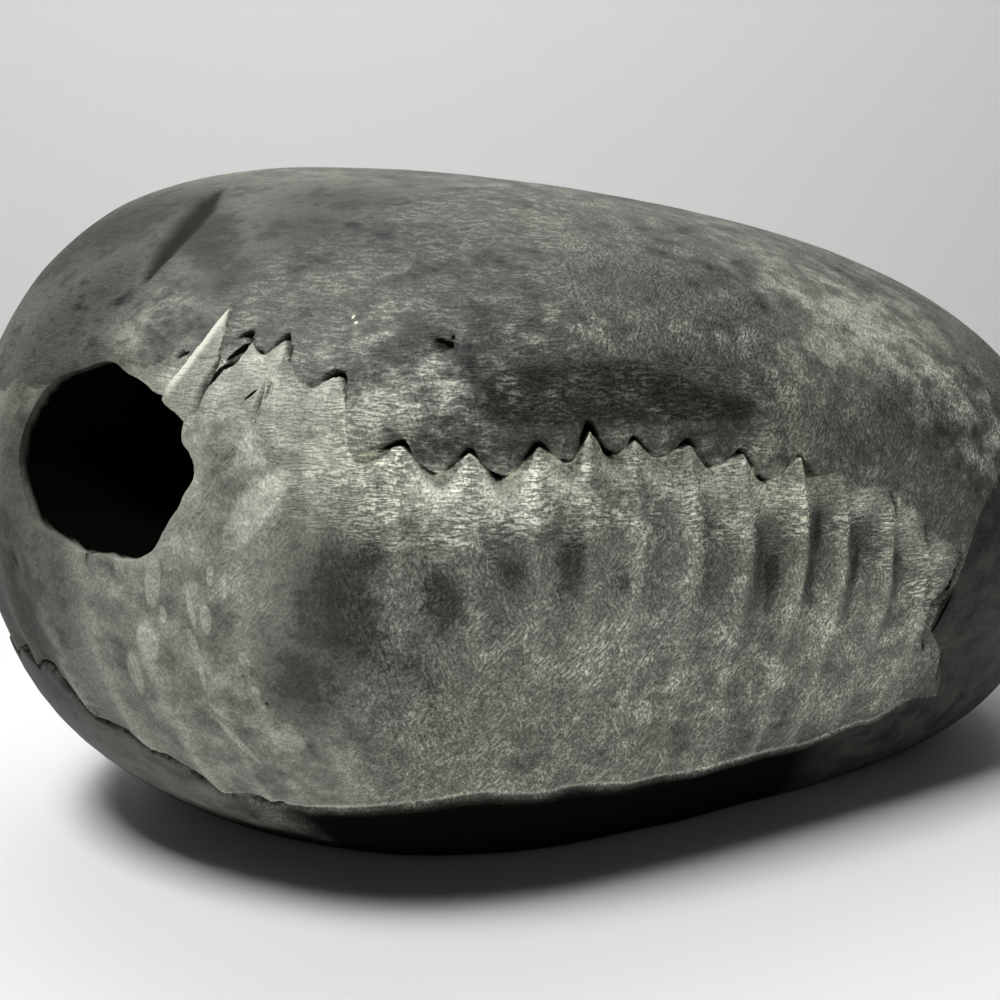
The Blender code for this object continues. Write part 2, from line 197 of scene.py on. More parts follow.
# The living chamber
MOUTH_CENTRE = np.array((-39.17, -12.92, 29.4))
MOUTH_RADII = (6.2, 5.6, 5.0, 5.5, 7.1, 8.2, 8.2, 7.2, 5.8, 5.3, 6.0, 5.8)
CHAMBER_SIDES = 96
CHAMBER_START = 5.0
CHAMBER_DEPTH = 27.0
CHAMBER_RINGS = 56
CHAMBER_TAPER = 0.25
CHAMBER_END_RADIUS = 6.0
CHAMBER_RIB_STEP = 3.4
CHAMBER_RIB_HEIGHT = 0.1
# How deep in mm the mouth's own outline counts
MOUTH_DEPTH = 8.0
# Where the chamber's axis points, as (azimuth, elevation)
AXIS_AT_MOUTH = (-72.0, 6.0)
AXIS_AT_END = (-108.0, 6.0)

# The photograph's view
CAMERA_AZIMUTH = -30.0
CAMERA_ELEVATION = 12.0
CAMERA_DISTANCE = 112.0
CAMERA_TARGET = np.array((-4.5, -0.1, 21.35))
LENS_MM = 50.0
SENSOR_MM = 36.0
NEAREST_MM = 5.0
FARTHEST_MM = 10000.0

# The stage in mm: the wall stands behind the stone, and the table runs up to it
WALL_DISTANCE = 250.0
WALL_HEIGHTS = (-40.0, 900.0)
STAGE_HALF_WIDTH = 900.0
STAGE_REACH = 600.0
STAGE_ROUGHNESS = 0.75
TABLE_COLOUR = (0.69, 0.70, 0.693)
WALL_COLOUR = (0.65, 0.66, 0.65)
WORLD_COLOUR = (0.96, 1.0, 0.98, 1.0)
WORLD_STRENGTH = 0.042
# Soft lights: name, place, target and size in mm, and power in watts
STONE_LIGHTS = (
    ("overhead", (-170, -50, 400), (0, 0, 20), (120, 110), 1.95),
    ("front_fill", (-300, -420, 260), (0, 0, 25), (260, 200), 0.10),
)
WALL_LIGHT_SIZE = (400, 200)
WALL_LIGHT_POWER = 0.75

# Grid of the fine mesh: the wanted step between columns round the girdle, and the rows
COLUMN_STEPS = ((-260, 0.66), (-125, 0.6), (-100, 0.24), (-84, 0.16), (-62, 0.13), (20, 0.14),
                (38, 0.15), (56, 0.28), (75, 0.6), (100, 0.7))
QUARTER_RINGS = tuple(np.linspace(0.98, 0.44, 24))
HALF_RINGS = tuple(np.linspace(0.42, 0.0, 34))
ABOVE_OFFSETS = (5.4, 4.75, 4.15, 3.6, 3.1, 2.65, 2.25, 1.9, 1.6, 1.32, 1.08, 0.86, 0.66, 0.48,
                 0.32, 0.18, 0.08, 0.0)
BELOW_OFFSETS = (0.08, 0.17, 0.26, 0.36, 0.47, 0.6, 0.76, 0.96, 1.22, 1.55, 1.95, 2.45, 3.0)
MIDDLE_RINGS = 21
LOW_ABOVE_OFFSETS = (2.2, 1.7, 1.3, 0.98, 0.72, 0.5, 0.33, 0.2, 0.1)
LOW_BELOW_OFFSETS = (0.0, 0.12, 0.3, 0.6, 1.1)
BASE_RINGS = (0.08, 0.17, 0.27, 0.37, 0.47, 0.57, 0.67, 0.77, 0.86, 0.94, 1.0)
FLOOR_RINGS = (0.8, 0.5, 0.25)
# Edges that turn by more degrees than this are sharp
SHARP_ANGLE = 62
# Steps in mm along the cracks and the groove, and along the sutures
LINE_STEP = 0.06
SUTURE_STEP = 0.05


def facing(azimuth, elevation):
    """Unit directions at azimuths and elevations in degrees."""
    a = np.radians(azimuth)
    e = np.radians(elevation)
    return np.stack((np.sin(a) * np.cos(e), -np.cos(a) * np.cos(e), np.sin(e) + 0 * a), -1)


def worn_radius(directions):
    """Distances in mm from CENTRE to the worn surface."""
    total = np.zeros(directions.shape[:-1])
    for azimuth, elevation, distance in WORN_FACES:
        towards = directions @ facing(azimuth, elevation)
        total += np.maximum(0.0, towards / distance) ** ROUNDING
    return total ** (-1.0 / ROUNDING)


def surface(azimuth, elevation, sink=0.0):
    """Points of the stone in mm, sunk below the worn surface."""
    directions = facing(azimuth, elevation)
    reach = worn_radius(directions)
    down = directions[..., 2]
    floor = np.where(down < -1e-6, -CENTRE[2] / np.minimum(down, -1e-6), 1e9)
    reach = np.minimum(reach - sink, floor)
    return CENTRE + directions * reach[..., None]


def smooth(low, high, value):
    """0 below low, 1 above high, and a smooth step between."""
    t = np.clip((value - low) / (high - low), 0.0, 1.0)
    return t * t * (3 - 2 * t)


def along(knots, azimuth):
    """Smooth values between (azimuth, value) knots."""
    x, y = np.array(knots, float).T
    i = np.clip(np.searchsorted(x, azimuth) - 1, 0, len(x) - 2)
    t = np.clip((azimuth - x[i]) / (x[i + 1] - x[i]), 0.0, 1.0)
    return y[i] + (y[i + 1] - y[i]) * t * t * (3 - 2 * t)


def girdle_lengths():
    """Fine steps of azimuth round the girdle, and the lengths in mm up to them."""
    azimuths = np.linspace(FIRST_AZIMUTH, LAST_AZIMUTH, 7201)
    points = surface(azimuths, 0 * azimuths)
    steps = np.linalg.norm(np.diff(points, axis=0), axis=1)
    return azimuths, np.concatenate(((0.0,), np.cumsum(steps)))


GIRDLE = girdle_lengths()


def back_crests():
    """Azimuths of the rib crests from BAND_START to the first tooth of the front."""
    azimuths, lengths = GIRDLE
    ends = np.interp((BAND_START, FRONT_TEETH[0][0]), azimuths, lengths)
    return np.interp(np.linspace(ends[0], ends[1], BACK_RIBS + 1), lengths, azimuths)


def tooth_table():
    """Every tooth round the band: crest, valley after it, gaps and steepness."""
    rng = np.random.default_rng(7)
    crests = back_crests()
    teeth = []
    for a0, a1 in zip(crests, crests[1:]):
        a1 = a1 if a1 < FRONT_TEETH[0][0] - 0.1 else FRONT_TEETH[0][0]
        middle = a0 + (a1 - a0) * rng.uniform(0.42, 0.58)
        height = along(UPPER_TEETH, np.array(a0)) * rng.uniform(0.8, 1.15) / 0.75
        base = along(UPPER_SUTURE, np.array((a0, middle)))
        gaps = rng.uniform(0.12, 0.42), rng.uniform(0.0, 0.32)
        teeth.append((a0, base[0] + height / 2, middle, base[1] - height / 2, *gaps, 1.1))
    return teeth + list(FRONT_TEETH)


TEETH = np.array(tooth_table())
CRESTS = np.append(TEETH[:, 0], FRONT_END[0])
CREST_ELEVATIONS = np.append(TEETH[:, 1], FRONT_END[1])


def smooth_end(azimuth):
    """How far, 0 to 1, an azimuth is across the smooth right end."""
    span = BAND_START + 360 - BAND_END
    wrapped = np.where(azimuth < BAND_START, azimuth + 360, azimuth)
    return smooth(0.0, 1.0, (wrapped - BAND_END) / span)


def on_band(azimuth):
    """1 on the band's stretch of azimuths and 0 past its two ends."""
    return (azimuth >= BAND_START) & (azimuth <= BAND_END)


def upper_suture(azimuth):
    """Elevation of the upper suture, and the gap there in mm."""
    i = np.clip(np.searchsorted(CRESTS, azimuth, side="right") - 1, 0, len(TEETH) - 1)
    following = CREST_ELEVATIONS[i + 1]
    crest, top, valley, bottom, gap, low_gap, steep = TEETH[i].T
    down = np.clip((azimuth - crest) / (valley - crest), 0, 1)
    up = np.clip((CRESTS[i + 1] - azimuth) / (CRESTS[i + 1] - valley), 0, 1)
    falling = azimuth < valley
    s = np.where(falling, np.sin(down * np.pi / 2) ** steep, np.sin(up * np.pi / 2) ** 1.3)
    elevation = np.where(falling, bottom + (top - bottom) * (1 - s),
                         bottom + (following - bottom) * (1 - s))
    next_gap = np.append(TEETH[:, 4], 0.1)[i + 1]
    width_down = gap * np.exp(-(down / 0.32) ** 2) + low_gap * np.exp(-((down - 0.85) / 0.3) ** 2)
    hook = np.maximum(width_down, 0.24 * smooth(0.75, 0.35, down))
    width_down = np.where(steep > 2, hook, width_down)
    width_up = next_gap * np.exp(-(up / 0.4) ** 2) + 0.45 * low_gap * np.exp(-((up - 1) / 0.3) ** 2)
    width = 1.02 * np.where(falling, width_down, width_up)
    width = np.maximum(width, 0.11 * smooth(-47, -45.5, azimuth) * smooth(12, 9, azimuth))
    width = width * (1 - smooth(-118, -98, azimuth) * smooth(-62.6, -63.4, azimuth))
    past = smooth_end(azimuth)
    end = FRONT_END[1] + (UPPER_SUTURE[0][1] - FRONT_END[1]) * past
    end = end - 14.0 * smooth(0.0, 0.03, past) * (1 - smooth(0.05, 0.8, past))
    inside = on_band(azimuth)
    return np.where(inside, elevation, end), np.where(inside, width, 0.0)


def rib_phase(azimuth):
    """Phase between rib crests: 0 on a crest and 1 just before the next."""
    i = np.clip(np.searchsorted(CRESTS, azimuth, side="right") - 1, 0, len(TEETH) - 1)
    return np.clip((azimuth - CRESTS[i]) / (CRESTS[i + 1] - CRESTS[i]), 0, 1)


def lower_suture(azimuth):
    """Elevation of the lower suture, and the gap there in mm."""
    phase = rib_phase(azimuth)
    tooth = 0.5 - np.abs(np.sin(np.pi * phase)) ** 0.75
    middle = along(LOWER_SUTURE, azimuth)
    elevation = middle - along(LOWER_TEETH, azimuth) * tooth / 0.75
    width = along(LOWER_GAP, azimuth) * (0.35 + 0.65 * np.cos(np.pi * phase) ** 2)
    past = smooth_end(azimuth)
    end = LOWER_SUTURE[-1][1] + (LOWER_SUTURE[0][1] - LOWER_SUTURE[-1][1]) * past
    inside = on_band(azimuth)
    return np.where(inside, elevation, end), np.where(inside, width, 0.0)


def polyline(points):
    """Fine steps along a line of (azimuth, elevation) places, and their points in mm."""
    corners = np.array(points, float)
    places = surface(corners[:, 0], corners[:, 1])
    result = []
    for a, b, p, q in zip(corners, corners[1:], places, places[1:]):
        count = max(2, int(np.linalg.norm(q - p) / LINE_STEP))
        t = np.arange(count)[:, None] / count
        result.append(a + (b - a) * t)
    result.append(corners[-1:])
    line = np.concatenate(result)
    return line, surface(line[:, 0], line[:, 1])


class Line:
    """A line on the surface, for distances to it."""

    def __init__(self, places, points):
        self.places = places
        self.tree = KDTree(len(points))
        for k, p in enumerate(points):
            self.tree.insert(p, k)
        self.tree.balance()
        self.low = points.min(0)
        self.high = points.max(0)

    def near(self, points, reach):
        """Distance to the line and the nearest place on it, for points within reach."""
        distance = np.full(len(points), FAR)
        nearest = np.zeros(len(points), int)
        box = ((points > self.low - reach) & (points < self.high + reach)).all(1)
        for k in np.nonzero(box)[0]:
            _, index, d = self.tree.find(points[k])
            distance[k] = d
            nearest[k] = index
        return distance, nearest


def suture_line(suture):
    """A suture as a Line, with the gap at each of its points."""
    azimuths = np.interp(np.arange(0.0, GIRDLE[1][-1], 0.03), GIRDLE[1], GIRDLE[0])
    azimuths = azimuths[on_band(azimuths)]
    elevation, width = suture(azimuths)
    points = surface(azimuths, elevation)
    gaps = np.linalg.norm(np.diff(points, axis=0), axis=1)
    keep = [0]
    total = 0.0
    for k, gap in enumerate(gaps):
        total += gap
        if total > SUTURE_STEP:
            keep.append(k + 1)
            total = 0.0
    return Line(np.stack((azimuths, elevation, width), 1)[keep], points[keep])


UPPER_LINE = suture_line(upper_suture)
LOWER_LINE = suture_line(lower_suture)
CRACK_LINES = [(half, depth, Line(*polyline(points))) for half, depth, points in CRACKS]
GROOVE_LINE = Line(*polyline(GROOVE))


def inside_outline(outline, azimuth, elevation):
    """Signed distance in degrees into an outline: positive inside it."""
    shape = np.array(outline)
    best = np.full(azimuth.shape, FAR)
    crossings = np.zeros(azimuth.shape, int)
    for (a0, e0), (a1, e1) in zip(shape, np.roll(shape, -1, 0)):
        t = ((azimuth - a0) * (a1 - a0) + (elevation - e0) * (e1 - e0))
        t = np.clip(t / ((a1 - a0) ** 2 + (e1 - e0) ** 2), 0, 1)
        away = np.hypot(azimuth - a0 - t * (a1 - a0), elevation - e0 - t * (e1 - e0))
        best = np.minimum(best, away)
        over = (e0 > elevation) != (e1 > elevation)
        side = a0 + (elevation - e0) / (e1 - e0) * (a1 - a0)
        crossings += over & (azimuth < side)
    return np.where(crossings % 2 == 1, best, -best)


def mouth_radius(angle):
    """The chamber outline's radius in mm at an angle in radians, seen looking in."""
    place = (angle / (2 * np.pi)) % 1.0 * len(MOUTH_RADII)
    i = np.floor(place).astype(int) % len(MOUTH_RADII)
    t = place - np.floor(place)
    t = t * t * (3 - 2 * t)
    radii = np.array(MOUTH_RADII)
    wobble = 0.12 * np.sin(7 * angle + 1.0) + 0.08 * np.sin(13 * angle)
    wobble = wobble + 0.05 * np.sin(23 * angle + 2)
    rough_side = 0.2 + 0.8 * (0.5 + 0.5 * np.cos(angle - 0.3)) ** 2
    return radii[i] * (1 - t) + radii[(i + 1) % len(radii)] * t + wobble * rough_side


def mouth_distance(points):
    """Distance in mm outside the chamber's mouth, and the angle round it in radians."""
    outward = facing(*AXIS_AT_MOUTH)
    across = np.cross((0, 0, 1.0), outward)
    across /= np.linalg.norm(across)
    up = np.cross(outward, across)
    offset = points - MOUTH_CENTRE
    u = offset @ across
    v = offset @ up
    angle = np.arctan2(v, u)
    away = np.hypot(u, v) - mouth_radius(angle)
    return np.where(offset @ outward > -MOUTH_DEPTH, away, FAR), angle


def low_noise(points, size, seed, octaves):
    """Fractal noise of a given wavelength in mm, about -1 to 1."""
    shift = Vector((seed * 13.7, seed * 5.1, -seed * 8.3))
    return np.array([noise.fractal(Vector(p) / size + shift, 1.0, 2.0, octaves) for p in points])


class Places:
    """Places at azimuths az and elevations el, and where they lie on the band and its ribs."""

    def __init__(self, azimuth, elevation):
        self.az = azimuth
        self.el = elevation
        self.points = surface(azimuth, elevation)
        self.degree = np.radians(worn_radius(facing(azimuth, elevation)))
        self.ragged = low_noise(self.points, *RAGGED_NOISE)
        self.lumps = low_noise(self.points, *LUMP_NOISE)
        self.front = smooth(-62, -56, azimuth)
        self.left_face = smooth(-47, -52, azimuth)
        self.ends = smooth(BAND_START, BAND_START + 12, azimuth) * smooth(BAND_END, BAND_END - 4, azimuth)
        self.find_sutures()
        self.find_ribs()
        self.find_healed()

    def find_sutures(self):
        """Distances in mm to the two sutures, and the gaps in mm there."""
        top, _ = upper_suture(self.az)
        bottom, _ = lower_suture(self.az)
        self.drop = (top - self.el) * self.degree
        rise = (self.el - bottom) * self.degree
        self.over = self.el > top
        self.upper, k = UPPER_LINE.near(self.points, UPPER_REACH)
        self.gap = UPPER_LINE.places[k, 2] * np.clip(1.0 + 0.5 * self.ragged, 0.2, 1.6)
        self.lower, k = LOWER_LINE.near(self.points, LOWER_REACH)
        self.low_gap = LOWER_LINE.places[k, 2] * np.clip(1.0 + 0.7 * self.ragged, 0.0, 1.8)
        self.under_upper = np.where(self.el < top, self.upper, -self.upper)
        self.over_lower = np.where(self.el > bottom, self.lower, -self.lower)
        self.depth_up = np.where(self.upper < UPPER_FAR, self.upper, np.maximum(UPPER_FAR, self.drop))
        self.depth_low = np.where(self.lower < LOWER_FAR, self.lower, np.maximum(LOWER_FAR, rise))
        self.in_band = (self.el < top) & (self.el > bottom) & on_band(self.az)

    def find_ribs(self):
        """Phase on the ribs, depth of the valleys between them, and how far they have faded."""
        fall = np.clip(self.drop / RIB_BULGE_HEIGHT, 0.0, 1.0)
        bulge = RIB_BULGE * smooth(-34, 0, self.az) * np.sin(np.pi * fall)
        self.phase = rib_phase(self.az - bulge)
        bottom = 0.5 - 0.3 * along(RIB_LEAN, self.az)
        into = np.where(self.phase < bottom, self.phase / bottom, (1 - self.phase) / (1 - bottom))
        self.valley = np.sin(np.clip(into, 0, 1) * np.pi / 2) ** 1.3
        self.wide_valley = np.sin(np.pi * self.phase) ** 0.8
        self.near = np.minimum(self.depth_up, self.depth_low + 30 * self.front)
        kept = along(RIB_PERSISTENCE, self.az)
        self.fade = kept + (1 - kept) * np.exp(-self.near / RIB_FADE_LENGTH)

    def find_healed(self):
        """Where the band runs into the cap without a step: by the chamber and by the hook."""
        by_chamber = smooth(-61.9, -62.7, self.az) * smooth(-118, -98, self.az)
        by_chamber = by_chamber * (self.el > -2)
        by_hook = smooth(-58.1, -57.2, self.az) * smooth(-53.7, -54.7, self.az)
        by_hook = by_hook * smooth(13, 15, self.el)
        self.healed = np.maximum(by_chamber, by_hook)


def band_relief(p):
    """How far the band and its ribs lie below the caps, in mm."""
    recess = BAND_RECESS * p.wide_valley * np.exp(-p.near / RECESS_LENGTH) + LEAST_RECESS
    recess = recess * (1 - 0.6 * p.left_face)
    blurred = smooth(9, 15, p.az) * (1 - smooth(0.0, 2.4, p.depth_up))
    recess = recess * (1 - blurred)
    ribs = along(RIB_HEIGHT, p.az) * p.fade * p.valley
    ribs = ribs * np.clip(1 + 0.35 * p.lumps, 0.3, 1.6)
    ribs = ribs * (1 - 0.9 * blurred) * (1 - p.front * smooth(6.0, 0.5, p.depth_low))
    ribs = ribs * (1 - 0.75 * p.front * smooth(-6.0, -19.0, p.el))
    return np.where(p.in_band, (recess + ribs) * p.ends, 0.0) * (1 - 0.9 * p.healed)


def open_crack(past, width):
    """1 where a crack of a width in mm is open, from the distance in mm past its edge."""
    away = np.abs(past - width / 2)
    return smooth(width / 2 + CRACK_WALL, width / 2 - CRACK_WALL, away) * smooth(0.03, 0.12, width)


def crack_relief(p, sink, masks):
    """The sink with the sutures' lips and gaps and the cracks, and the mask of what is open, which the
    material paints black as painted shade.
    """
    crack = open_crack(p.under_upper + 0.35 * p.gap, p.gap)
    low_crack = open_crack(p.over_lower, p.low_gap)
    deep = crack * np.minimum(1.0, 0.25 + 2.2 * p.gap)
    low_deep = low_crack * np.minimum(0.9, 0.2 + 2.0 * p.low_gap)
    lip = UPPER_LIP[0] * np.exp(-p.upper / UPPER_LIP[1]) * (p.under_upper < 0) * (1 - p.healed)
    lip = lip + LOWER_LIP[0] * np.exp(-p.lower / LOWER_LIP[1]) * (p.over_lower < 0)
    dark = np.maximum(crack, low_crack)
    for half, depth, line in CRACK_LINES:
        distance, k = line.near(p.points, CRACK_REACH)
        count = len(line.places)
        thin = np.minimum(1.0, 4.0 * np.minimum(k, count - 1 - k) / count + 0.35)
        width = half * thin * np.clip(1 + 0.4 * p.ragged, 0.4, 1.5)
        open_part = smooth(width + 0.06, np.maximum(width - 0.06, 0.0), distance)
        deep = np.maximum(deep, open_part * depth * thin)
        dark = np.maximum(dark, open_part)
    # Open gaps and cracks: painted black as the shade inside them
    masks["dark"] = np.clip(dark, 0, 1)
    return sink + lip * p.ends + deep + low_deep


def mark_relief(p, sink, masks):
    """The sink with the groove, the pits and the flake, and their masks."""
    distance, k = GROOVE_LINE.near(p.points, GROOVE_REACH)
    t = k / (len(GROOVE_LINE.places) - 1)
    width = GROOVE_HALF_WIDTH * np.sin(np.pi * np.clip(t, 0.04, 0.96)) ** 0.6
    # The groove's mask, which the material paints nearly black as painted shade
    masks["groove"] = np.exp(-(distance / (0.75 * width)) ** 4)
    sink = sink + GROOVE_DEPTH * masks["groove"]

    for azimuth, elevation, across, up, depth in PITS:
        u = (p.az - azimuth) * p.degree * np.cos(np.radians(elevation))
        v = (p.el - elevation) * p.degree
        sink = sink + depth * np.exp(-((u / across) ** 2 + (v / up) ** 2) ** PIT_STEEPNESS)

    inward = inside_outline(FLAKE, p.az, p.el)
    flake = smooth(-0.08, 0.1, inward)
    left = smooth(-64.8, -66.5, p.az + 0.05 * (p.el - 17))
    around = np.exp(-np.maximum(-inward, 0) / 1.6) * left * smooth(27, 22, p.el)
    sink = sink + (1 - flake) * FLAKE_SURROUND_SINK * around
    sink = sink + flake * smooth(-67.6, -64.2, p.az) * 0.35
    # A painted highlight along the flake's left edge
    edge = smooth(-0.05, 0.12, inward) * smooth(0.95, 0.5, inward) * smooth(-65.6, -66.4, p.az)
    masks["flake"] = flake
    masks["flake_edge_highlight"] = edge * smooth(13.5, 15.5, p.el)
    return sink


def rim_relief(p, sink, masks):
    """The sink with the chamber's rim worn down, most of all at its upper left, and its masks: painted
    shade on the rim's soft upper left, and a pale line along its crisp side.
    """
    away, angle = mouth_distance(p.points)
    soft = 0.5 + 0.5 * np.cos(angle - 2.6)
    rim = np.exp(-np.maximum(away, 0) / (0.22 + 0.55 * soft))
    masks["rim"] = rim * soft
    masks["rim_edge"] = np.exp(-np.maximum(away, 0) / 0.22) * (1 - soft)
    return sink + rim * (0.12 + 0.22 * soft)


def skin_relief(p, sink):
    """The sink with the low swells and the fine unevenness of the whole stone."""
    swell = low_noise(p.points, *SWELL_NOISE)
    fine = low_noise(p.points, *FINE_NOISE)
    sink = sink + 0.12 * (swell + 0.8) + 0.03 * (fine + 1) * np.where(p.in_band, 1.3, 0.5)
    return sink + np.where(p.in_band, 0.05 * np.maximum(p.lumps, 0), 0.0)


def band_masks(p, masks):
    """Masks of the band, its ribs and edges, the painted light and shade on the ribs, and the way that
    its strokes lie.
    """
    soft_edge = 0.15 + 1.6 * np.maximum(smooth(9, 16, p.az), p.healed)
    band = smooth(-0.1, soft_edge, np.minimum(p.under_upper, p.over_lower)) * p.ends
    left_end = smooth(-70, -78, p.az) * smooth(-122, -98, p.az)
    masks["band"] = band * (1 - 0.85 * left_end * smooth(-16, 0, p.el))

    # The wide valleys below the upper suture, painted pale: pale polish with a painted highlight where
    # they face up
    valley = np.where(p.in_band, p.wide_valley ** 1.3 * smooth(3.4, 0.9, p.depth_up), 0)
    masks["valley"] = valley * along(VALLEY_PALENESS, p.az) * p.ends
    # Painted shade in the grooves between the ribs
    shade = np.where(p.in_band, p.valley * p.fade * along(RIB_HEIGHT, p.az) / 0.5, 0) * p.ends
    lower_half = p.front * smooth(-5.0, -15.0, p.el)
    masks["ribshade"] = shade * (smooth(1.0, 3.5, p.depth_up) * (1 - lower_half))
    # A painted highlight along each rib's crest
    crest = np.exp(-((np.minimum(p.phase, 1 - p.phase)) / 0.13) ** 2)
    masks["crest"] = np.where(p.in_band, crest, 0) * p.fade
    # Painted shade on the right flank of each rib, just past its crest
    rib_flank_shade = np.exp(-((p.phase - 0.24) / 0.15) ** 2)
    rib_flank_shade = rib_flank_shade * smooth(-26, -4, p.az) * smooth(33, 29, p.az)
    rib_flank_shade = rib_flank_shade * smooth(1.2, 4.0, p.depth_up) * smooth(-14.0, -7.0, p.el + 0.25 * p.az)
    masks["rib_flank_shade"] = np.where(p.in_band, rib_flank_shade, 0.0)

    pale_edge = np.exp(-((p.under_upper - 0.16) / 0.13) ** 2)
    pale_edge = pale_edge * smooth(14, 6, p.az) * (1 - p.left_face)
    low_edge = np.exp(-((p.over_lower - 0.16) / 0.14) ** 2) * 0.7
    masks["edge"] = np.maximum(pale_edge, low_edge) * p.ends * (1 - masks["dark"])
    cap = smooth(-22, -34, p.az) * p.over
    low_cap = smooth(25, 20, p.el) * p.over * (p.az < 0)
    masks["lay"] = np.maximum(np.maximum(smooth(8.5, 1.5, p.depth_up) * p.in_band, cap), low_cap)


def underside_masks(p, masks):
    """Masks of the underside below the lower suture, painted nearly black as painted shade, and of its
    right part, painted in the tone of the dark end stone.
    """
    shift = along(BLACK_SHIFT, p.az)
    black = 0.72 + 0.28 * smooth(-110, -85, p.az) * smooth(75, 45, p.az)
    below = smooth(0.15, -0.35 - 1.2 * shift, p.over_lower + 0.6 * shift) * (p.el < 0)
    left = smooth(1.5, -1.5, p.el + 31.5 + 0.2 * (p.az + 73.8))
    right = smooth(30.0, 16.0, p.az + 0.4 * (p.el + 40))
    # The underside, painted nearly black as the shade under the stone
    masks["low"] = black * below * np.maximum(smooth(-64, -58, p.az), left) * right
    masks["under"] = below * smooth(8, 22, p.az)


def relief(azimuth, elevation):
    """How far each place lies below the worn surface in mm, and masks for the material."""
    p = Places(azimuth, elevation)
    masks = {}
    sink = crack_relief(p, band_relief(p), masks)
    sink = mark_relief(p, sink, masks)
    sink = rim_relief(p, sink, masks)
    sink = skin_relief(p, sink)
    band_masks(p, masks)
    underside_masks(p, masks)
    return np.maximum(sink, 0.0), masks


# Soft patches of colour: azimuth, elevation, half sizes, tilt, all in degrees, and strength
# Dark patches: the stone's own blotches, and painted shade on the top of the dome, at the left end and
# beside the groove
DARK_PATCHES = (
    (-13, 22.5, 9, 3.2, -6, 0.6), (-91, -10, 11, 14, 0, 1.2), (-84, 22, 7, 13, 0, 0.7),
    (-69, 38, 12, 7, 0, 0.75), (-74, 46, 16, 9, 0, 0.7), (-97, 31, 12, 11, 0, 0.85),
    (-57, 24.5, 4, 3, 0, 0.5), (13, 12.5, 7, 3, -14, 0.5), (-50.3, -3.5, 3.8, 7.5, 8, 1.25),
    (-53.5, -10.5, 4.4, 6, 4, 1), (-47.5, 1.2, 2.4, 2.6, 0, 1), (-46, -9, 5, 3, -40, 0.8),
    (-41.2, -3.2, 2.4, 4.6, 0, 0.95), (-34.4, -1.2, 2.2, 3.8, 10, 1), (-28, -1.3, 2.4, 4.6, 0, 1.1),
    (-22, -4, 2, 4, 0, 0.7), (-54, 13.8, 3.4, 3.6, 0, 0.42), (-79.5, 32.6, 3.2, 10.5, 64, 0.95),
    (-70, 27.4, 3, 4, 60, 0.75), (-16.4, 2, 1.3, 8, 0, 0.55), (1.7, -7, 1.3, 4.4, 0, 1),
    (9.6, -2, 1, 8, 0, 0.9), (17.4, -5, 0.9, 5.5, 0, 0.8), (23.6, -6, 0.8, 4, 0, 0.9),
    (24, 14, 7, 5, -20, 0.7), (8, 30, 12, 4, -8, 0.55), (-14, 36, 20, 6, 0, 0.5),
    (-50, 40, 16, 10, 0, 0.45), (-86, 10, 5, 16, 0, 0.5), (-60, 28, 6, 5, 0, 0.25),
    (-45, -16, 10, 4, 0, 0.3), (-140, 30, 14, 7, 10, 0.7), (150, 24, 12, 6, -10, 0.7),
    (-160, -4, 5, 9, 0, 0.8), (-120, -2, 5, 7, 0, 0.7), (-81, -17, 8, 8, 0, 0.6),
    (-205, -8, 6, 8, 0, 0.7), (60, 8, 12, 9, 0, 0.7),
)
# Pale patches: the stone's own pale streaks, and painted light under the teeth and along the band
PALE_PATCHES = (
    (-47.6, 15.6, 2.6, 4.2, 0, 0.95), (-50.5, 21.5, 4.5, 3.4, 0, 0.5), (-43.5, 17, 7, 5, 10, 0.75),
    (-34, 25, 9, 3, 0, 0.35), (-19, 6, 24, 4.5, -6, 0.75), (26, 24, 20, 16, -10, 0.45),
    (38, 12, 6, 8, 0, 0.6), (27, -16, 7, 9, 14, 0.5), (42, 6, 7, 8, 0, 0.75), (30, 15, 6, 7, 0, 0.55),
    (-61, 9, 4, 6, 0, 0.3), (16, 24, 8, 6, -14, 0.4), (-2, 27, 8, 2.2, -6, 0.35),
    (-21, -9, 11, 8, 0, 0.4), (-42.4, 8, 1.5, 1.5, 0, 1), (-36, 7.4, 1.9, 1.7, 0, 1.15),
    (-24, 9.8, 1.7, 1.3, 0, 0.6), (-28.5, 8.8, 1.9, 1.6, 0, 0.6), (-9, 7.6, 1.6, 1.4, 0, 0.5),
    (0.8, 5.4, 1.5, 1.2, 0, 0.45), (-37, 6.5, 13, 4.4, 4, 1.15), (-8, 4.5, 14, 6, -4, 1.1),
    (-46, 8, 4, 5, 0, 0.6), (-55.2, 9, 5.5, 5.6, 30, 0.55), (-58.6, 3.5, 2.2, 5.5, 22, 0.4),
    (-51.5, 12, 3, 3, 0, 0.25), (-74, 22.6, 3.2, 3.8, 24, 0.45), (-74.5, 20, 3.2, 3.4, 30, 0.4),
    (16, -8, 12, 13, 0, 0.4), (24, -14, 6, 8, 14, 0.45), (-60, -14, 7, 8, 0, 0.3),
    (-69.5, -3, 4, 5, 0, 0.2), (-3, -22, 20, 6, -6, 0.35), (30, 30, 8, 12, 0, 0.3),
    (-48, 34, 10, 6, 0, 0.25), (-180, 3, 16, 5, 0, 0.6), (-130, 3, 12, 4, 0, 0.6),
    (170, 40, 16, 6, 0, 0.3),
)
# Broad stretches painted a little paler as painted light, where the lamps reach the flank and the right
# end less
BROAD_PAINTED_LIGHT = (
    (-21, -7, 12, 9, 0, 1.3), (20, -8, 13, 14, 0, 0.9), (28, 22, 18, 14, 0, 0.55),
    (41, 8, 6, 8, 0, 0.5), (-170, 20, 30, 16, 0, 0.4),
)
